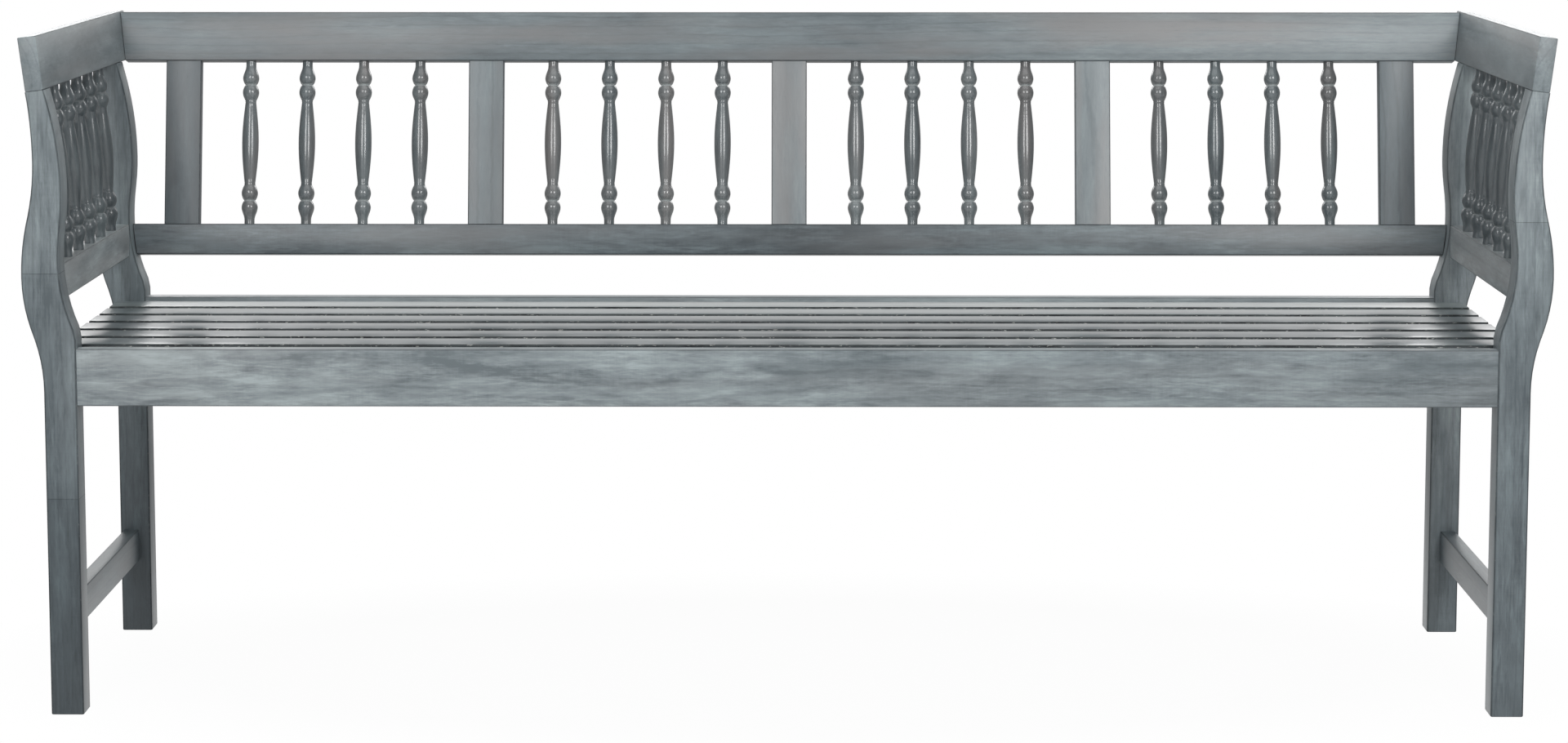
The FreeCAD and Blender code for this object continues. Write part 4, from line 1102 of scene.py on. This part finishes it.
@dataclass(frozen=True)
class Fastener:
    """A steel pin with a head, about the middle of the head's underside, pointing along +Z."""

    head: float
    head_height: float
    shank: float
    length: float
    drive: tuple[tuple[int, float, float], ...]
    drive_depth: float
    tip: float = 0.5
    easing_share: float = 0.1

    def build(self, name: str) -> Piece:
        """Turn the pin and sink its drive.

        Args:
            name: the piece's name.

        Returns:
            The piece.
        """
        piece = added(name, bpy.ops.mesh.primitive_cylinder_add, vertices=ROUND, radius=self.head,
                      depth=self.head_height, location=(0, 0, -self.head_height / 2))
        with editing(piece):
            pick(piece, Part.FACES, lambda face: face.normal.z > ALIGNED)
            bpy.ops.mesh.inset(thickness=self.head - self.shank)
            bpy.ops.mesh.extrude_region_move(
                TRANSFORM_OT_translate={"value": (0, 0, self.length - self.shank)})
            bpy.ops.mesh.extrude_region_move(TRANSFORM_OT_translate={"value": (0, 0, self.shank)})
            bpy.ops.transform.resize(value=(self.tip, self.tip, 1.0),
                                     center_override=(0, 0, self.length))
            bevel(piece, lambda edge: all(
                vert.co.z < FLAT - self.head_height for vert in edge.verts),
                  self.easing_share * self.head, segments=2)
        for sides, width, depth in self.drive:
            punch = added("punch", bpy.ops.mesh.primitive_cylinder_add, vertices=sides, radius=0.5,
                          depth=2 * self.drive_depth, location=(0, 0, -self.head_height),
                          rotation=(0, 0, math.pi / sides))
            punch.scale = (width, depth, 1.0)
            cut_away(piece, punch)
        smooth(piece)
        return piece


@dataclass
class Fasteners:
    """Frame bolts with hexagon sockets in the legs and cross-headed screws under the slats."""

    bolt: Fastener = Fastener(0.0065, 0.004, 0.003, 0.066, ((6, 0.0058, 0.0058),), 0.0022)
    bolt_seat: float = 0.8915
    bolt_height: float = 0.440
    screw: Fastener = Fastener(0.0042, 0.003, 0.0022, 0.039,
                               ((4, 0.0076, 0.0018), (4, 0.0018, 0.0076)), 0.0014)
    screw_seat: float = 0.402
    slats: int = 6
    supports: tuple[float, ...] = (-0.886, -0.440, 0.0, 0.440, 0.886)

    def build(self) -> None:
        """Make the bolts and the screws, each set as one piece."""
        places = []
        for end in End:
            for rail in ("front_apron", "rear_seat_rail"):
                low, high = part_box(rail)
                places.append(Matrix.Translation((end.value * self.bolt_seat, (low.y + high.y) / 2,
                                                  self.bolt_height))
                              @ Matrix.Rotation(-end.value * math.pi / 2, 4, "Y"))
        self.set_of(self.bolt, places, Slot.BOLT, "frame_bolts")
        places = []
        for number in range(self.slats):
            low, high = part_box(f"seat_slat_{number + 1}")
            places += [Matrix.Translation((x, (low.y + high.y) / 2, self.screw_seat))
                       for x in self.supports]
        self.set_of(self.screw, places, Slot.SCREW, "slat_screws")

    @staticmethod
    def set_of(fastener: Fastener, places: list[Matrix], slot: Slot, node: str) -> None:
        """Copy a fastener to its places and join the copies.

        Args:
            fastener: what to make.
            places: where each copy goes.
            slot: the material slot.
            node: the node that the set stands for.
        """
        model = fastener.build("pin")
        copies = []
        for number, place in enumerate(places):
            copies.append(copy_of(model, f"pin_{number + 1}"))
            copies[-1].data.transform(place)
        bpy.data.objects.remove(model)
        take(copies[0])
        for twin in copies:
            twin.select_set(True)
        bpy.ops.object.join()
        copies[0].name = copies[0].data.name = f"plated_{node}"
        settle(copies[0], Matrix.Identity(4), slot, node)


@dataclass
class HiddenPieces:
    """Carried-over nodes that keep their shape and get a finish."""

    along_y: tuple[str, ...] = ("left_seat_rail", "right_seat_rail", "seat_bearer_1",
                                "seat_bearer_2", "seat_bearer_3")
    dowels: tuple[str, ...] = ("arm_dowels",)
    steel: tuple[str, ...] = ("barrel_nuts",)

    def build(self) -> None:
        """Give each node its finish."""
        wash = HiddenWood("hidden_wash", turn=(0.0, 0.0, -math.pi / 2), shade=0.8)
        raw = HiddenWood("dowel_birch", turn=(0.0, math.pi / 2, 0.0), dark=(0.42, 0.28, 0.15),
                         middle=(0.58, 0.42, 0.26), light=(0.68, 0.53, 0.36), coat=0.0)
        for names, finish in ((self.along_y, wash), (self.dowels, raw),
                              (self.steel, FINISHES[Slot.BOLT])):
            for name in names:
                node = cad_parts[name]
                node.data.materials.clear()
                node.data.materials.append(finish.material())
                log.info("%s keeps its shape", name)


@dataclass(frozen=True)
class Softbox:
    """A broad soft lamp: where it hangs, what it points at, its size and its power in watts."""

    name: str
    place: Point
    target: Point
    size: Pair
    power: float

    def hang(self) -> None:
        """Hang the lamp."""
        data = bpy.data.lights.new(self.name, "AREA")
        data.shape = "RECTANGLE"
        data.size, data.size_y = self.size
        data.energy = self.power
        lamp = bpy.data.objects.new(self.name, data)
        lamp.visible_camera = False
        bpy.context.scene.collection.objects.link(lamp)
        lamp.location = self.place
        aim = Vector(self.target) - Vector(self.place)
        lamp.rotation_euler = aim.to_track_quat("-Z", "Y").to_euler()


@dataclass
class Studio:
    """Floor, soft lamps, surroundings and camera."""

    camera_place: Point = (0.0316, -4.914, 1.098)
    yaw: float = math.radians(0.428)
    pitch: float = math.radians(7.12)
    lens: float = 88.46
    sensor: float = 36.0
    shift: float = -0.05
    floor_size: float = 120.0
    floor_colour: Colour = (0.66, 0.66, 0.66)
    behind_bench: Pair = (0.3, 1.5)
    shadow_share: float = 0.035
    shadow_shape: Point = (1.0, 1.9, 1.0)
    shadow_reach: Pair = (0.75, 1.15)
    surround: float = 0.15
    backdrop: float = 1.08
    backdrop_slopes: Pair = (-0.2, 0.4)
    mirrored_floor: float = 0.15
    mirrored_front: float = 0.25
    mirrored_side: float = 0.3
    white_width: float = 0.4
    fade_width: float = 0.64
    lamps: tuple[Softbox, ...] = (
        Softbox("left_softbox", (-1.2, -2.7, 1.85), (-0.1, 0.0, 0.55), (0.9, 1.2), 31.0),
        Softbox("right_softbox", (1.3, -2.7, 1.85), (0.1, 0.0, 0.55), (0.9, 1.2), 38.0),
        Softbox("top_softbox", (0.0, -0.6, 2.7), (0.0, -0.1, 0.5), (3.0, 1.4), 16.0),
        Softbox("rear_left_softbox", (-1.5, 2.6, 2.0), (-0.2, 0.2, 0.5), (0.9, 1.2), 16.0),
        Softbox("rear_right_softbox", (1.5, 2.6, 2.0), (0.2, 0.2, 0.5), (0.9, 1.2), 16.0),
    )

    def floor(self) -> None:
        """Lay the floor, white to the camera apart from the bench's soft shadow."""
        floor = added("floor", bpy.ops.mesh.primitive_plane_add, size=self.floor_size)
        recipe = Recipe(bpy.data.materials.new("pale_floor"))
        paths = recipe.node("LightPath")
        place = recipe.node("TexCoord").outputs["Object"]
        behind = recipe.node("SeparateXYZ", {"Vector": place}).outputs["Y"]
        mirrored = recipe.reckon("MULTIPLY", paths.outputs["Is Glossy Ray"],
                                 recipe.span(behind, *self.behind_bench, 1.0,
                                             self.mirrored_floor))
        seen = recipe.reckon("MAXIMUM", paths.outputs["Is Camera Ray"], mirrored)
        seen = recipe.reckon("MAXIMUM", seen, paths.outputs["Is Transmission Ray"])
        around = recipe.node("VectorMath", {0: recipe.scaled(place, self.shadow_shape)},
                             operation="LENGTH").outputs["Value"]
        white_share = recipe.span(around, *self.shadow_reach, 1.0 - self.shadow_share, 1.0)
        plain = recipe.node("BsdfDiffuse", {"Color": (*self.floor_colour, 1.0)})
        white = recipe.node("Emission", {"Color": (1.0, 1.0, 1.0, 1.0), "Strength": 1.0})
        mixed = recipe.node("MixShader", {0: recipe.reckon("MULTIPLY", seen, white_share),
                                          1: plain.outputs[0], 2: white.outputs[0]})
        recipe.node("OutputMaterial", {"Surface": mixed.outputs[0]})
        floor.data.materials.append(recipe.owner)

    def surroundings(self) -> None:
        """White round the camera, a white backdrop in reflections, and a dim room for the rest."""
        world = bpy.data.worlds.new("studio")
        bpy.context.scene.world = world
        recipe = Recipe(world)
        paths = recipe.node("LightPath").outputs
        way = recipe.node("SeparateXYZ", {0: recipe.node("TexCoord").outputs["Generated"]}).outputs
        behind = recipe.span(way["Y"], *self.backdrop_slopes, self.mirrored_front, self.backdrop)
        beside = recipe.span(recipe.reckon("ABSOLUTE", way["X"]), self.white_width,
                             self.fade_width, 1.0, self.mirrored_side)
        glossy = recipe.reckon("MULTIPLY", paths["Is Glossy Ray"],
                               recipe.reckon("MULTIPLY", behind, beside))
        seen = recipe.reckon("MAXIMUM", paths["Is Camera Ray"], paths["Is Transmission Ray"])
        strength = recipe.reckon("MAXIMUM", recipe.reckon("MAXIMUM", glossy, self.surround), seen)
        light = recipe.node("Background", {"Strength": strength})
        recipe.node("OutputWorld", {"Surface": light.outputs[0]})

    def camera(self) -> None:
        """Stand the camera where the photograph was taken from."""
        data = bpy.data.cameras.new("camera")
        data.lens = self.lens
        data.sensor_width = self.sensor
        data.shift_y = self.shift
        camera = bpy.data.objects.new("camera", data)
        bpy.context.scene.collection.objects.link(camera)
        camera.location = self.camera_place
        camera.rotation_euler = (math.pi / 2 - self.pitch, 0.0, self.yaw)
        bpy.context.scene.camera = camera

    def build(self) -> None:
        """Set up everything round the bench."""
        bpy.context.scene.view_settings.view_transform = "Standard"
        self.floor()
        self.surroundings()
        for lamp in self.lamps:
            lamp.hang()
        self.camera()


def main() -> None:
    """Build the studio and the bench."""
    logging.basicConfig(level=logging.INFO, format="%(name)s: %(message)s")
    Studio().build()
    for assembly in (Legs(), ArmFrames(), BackPanel(), SeatFrame(), Fasteners(),
                     HiddenPieces()):
        assembly.build()
        log.info("%s is done", type(assembly).__name__)


if __name__ == "__main__":
    main()
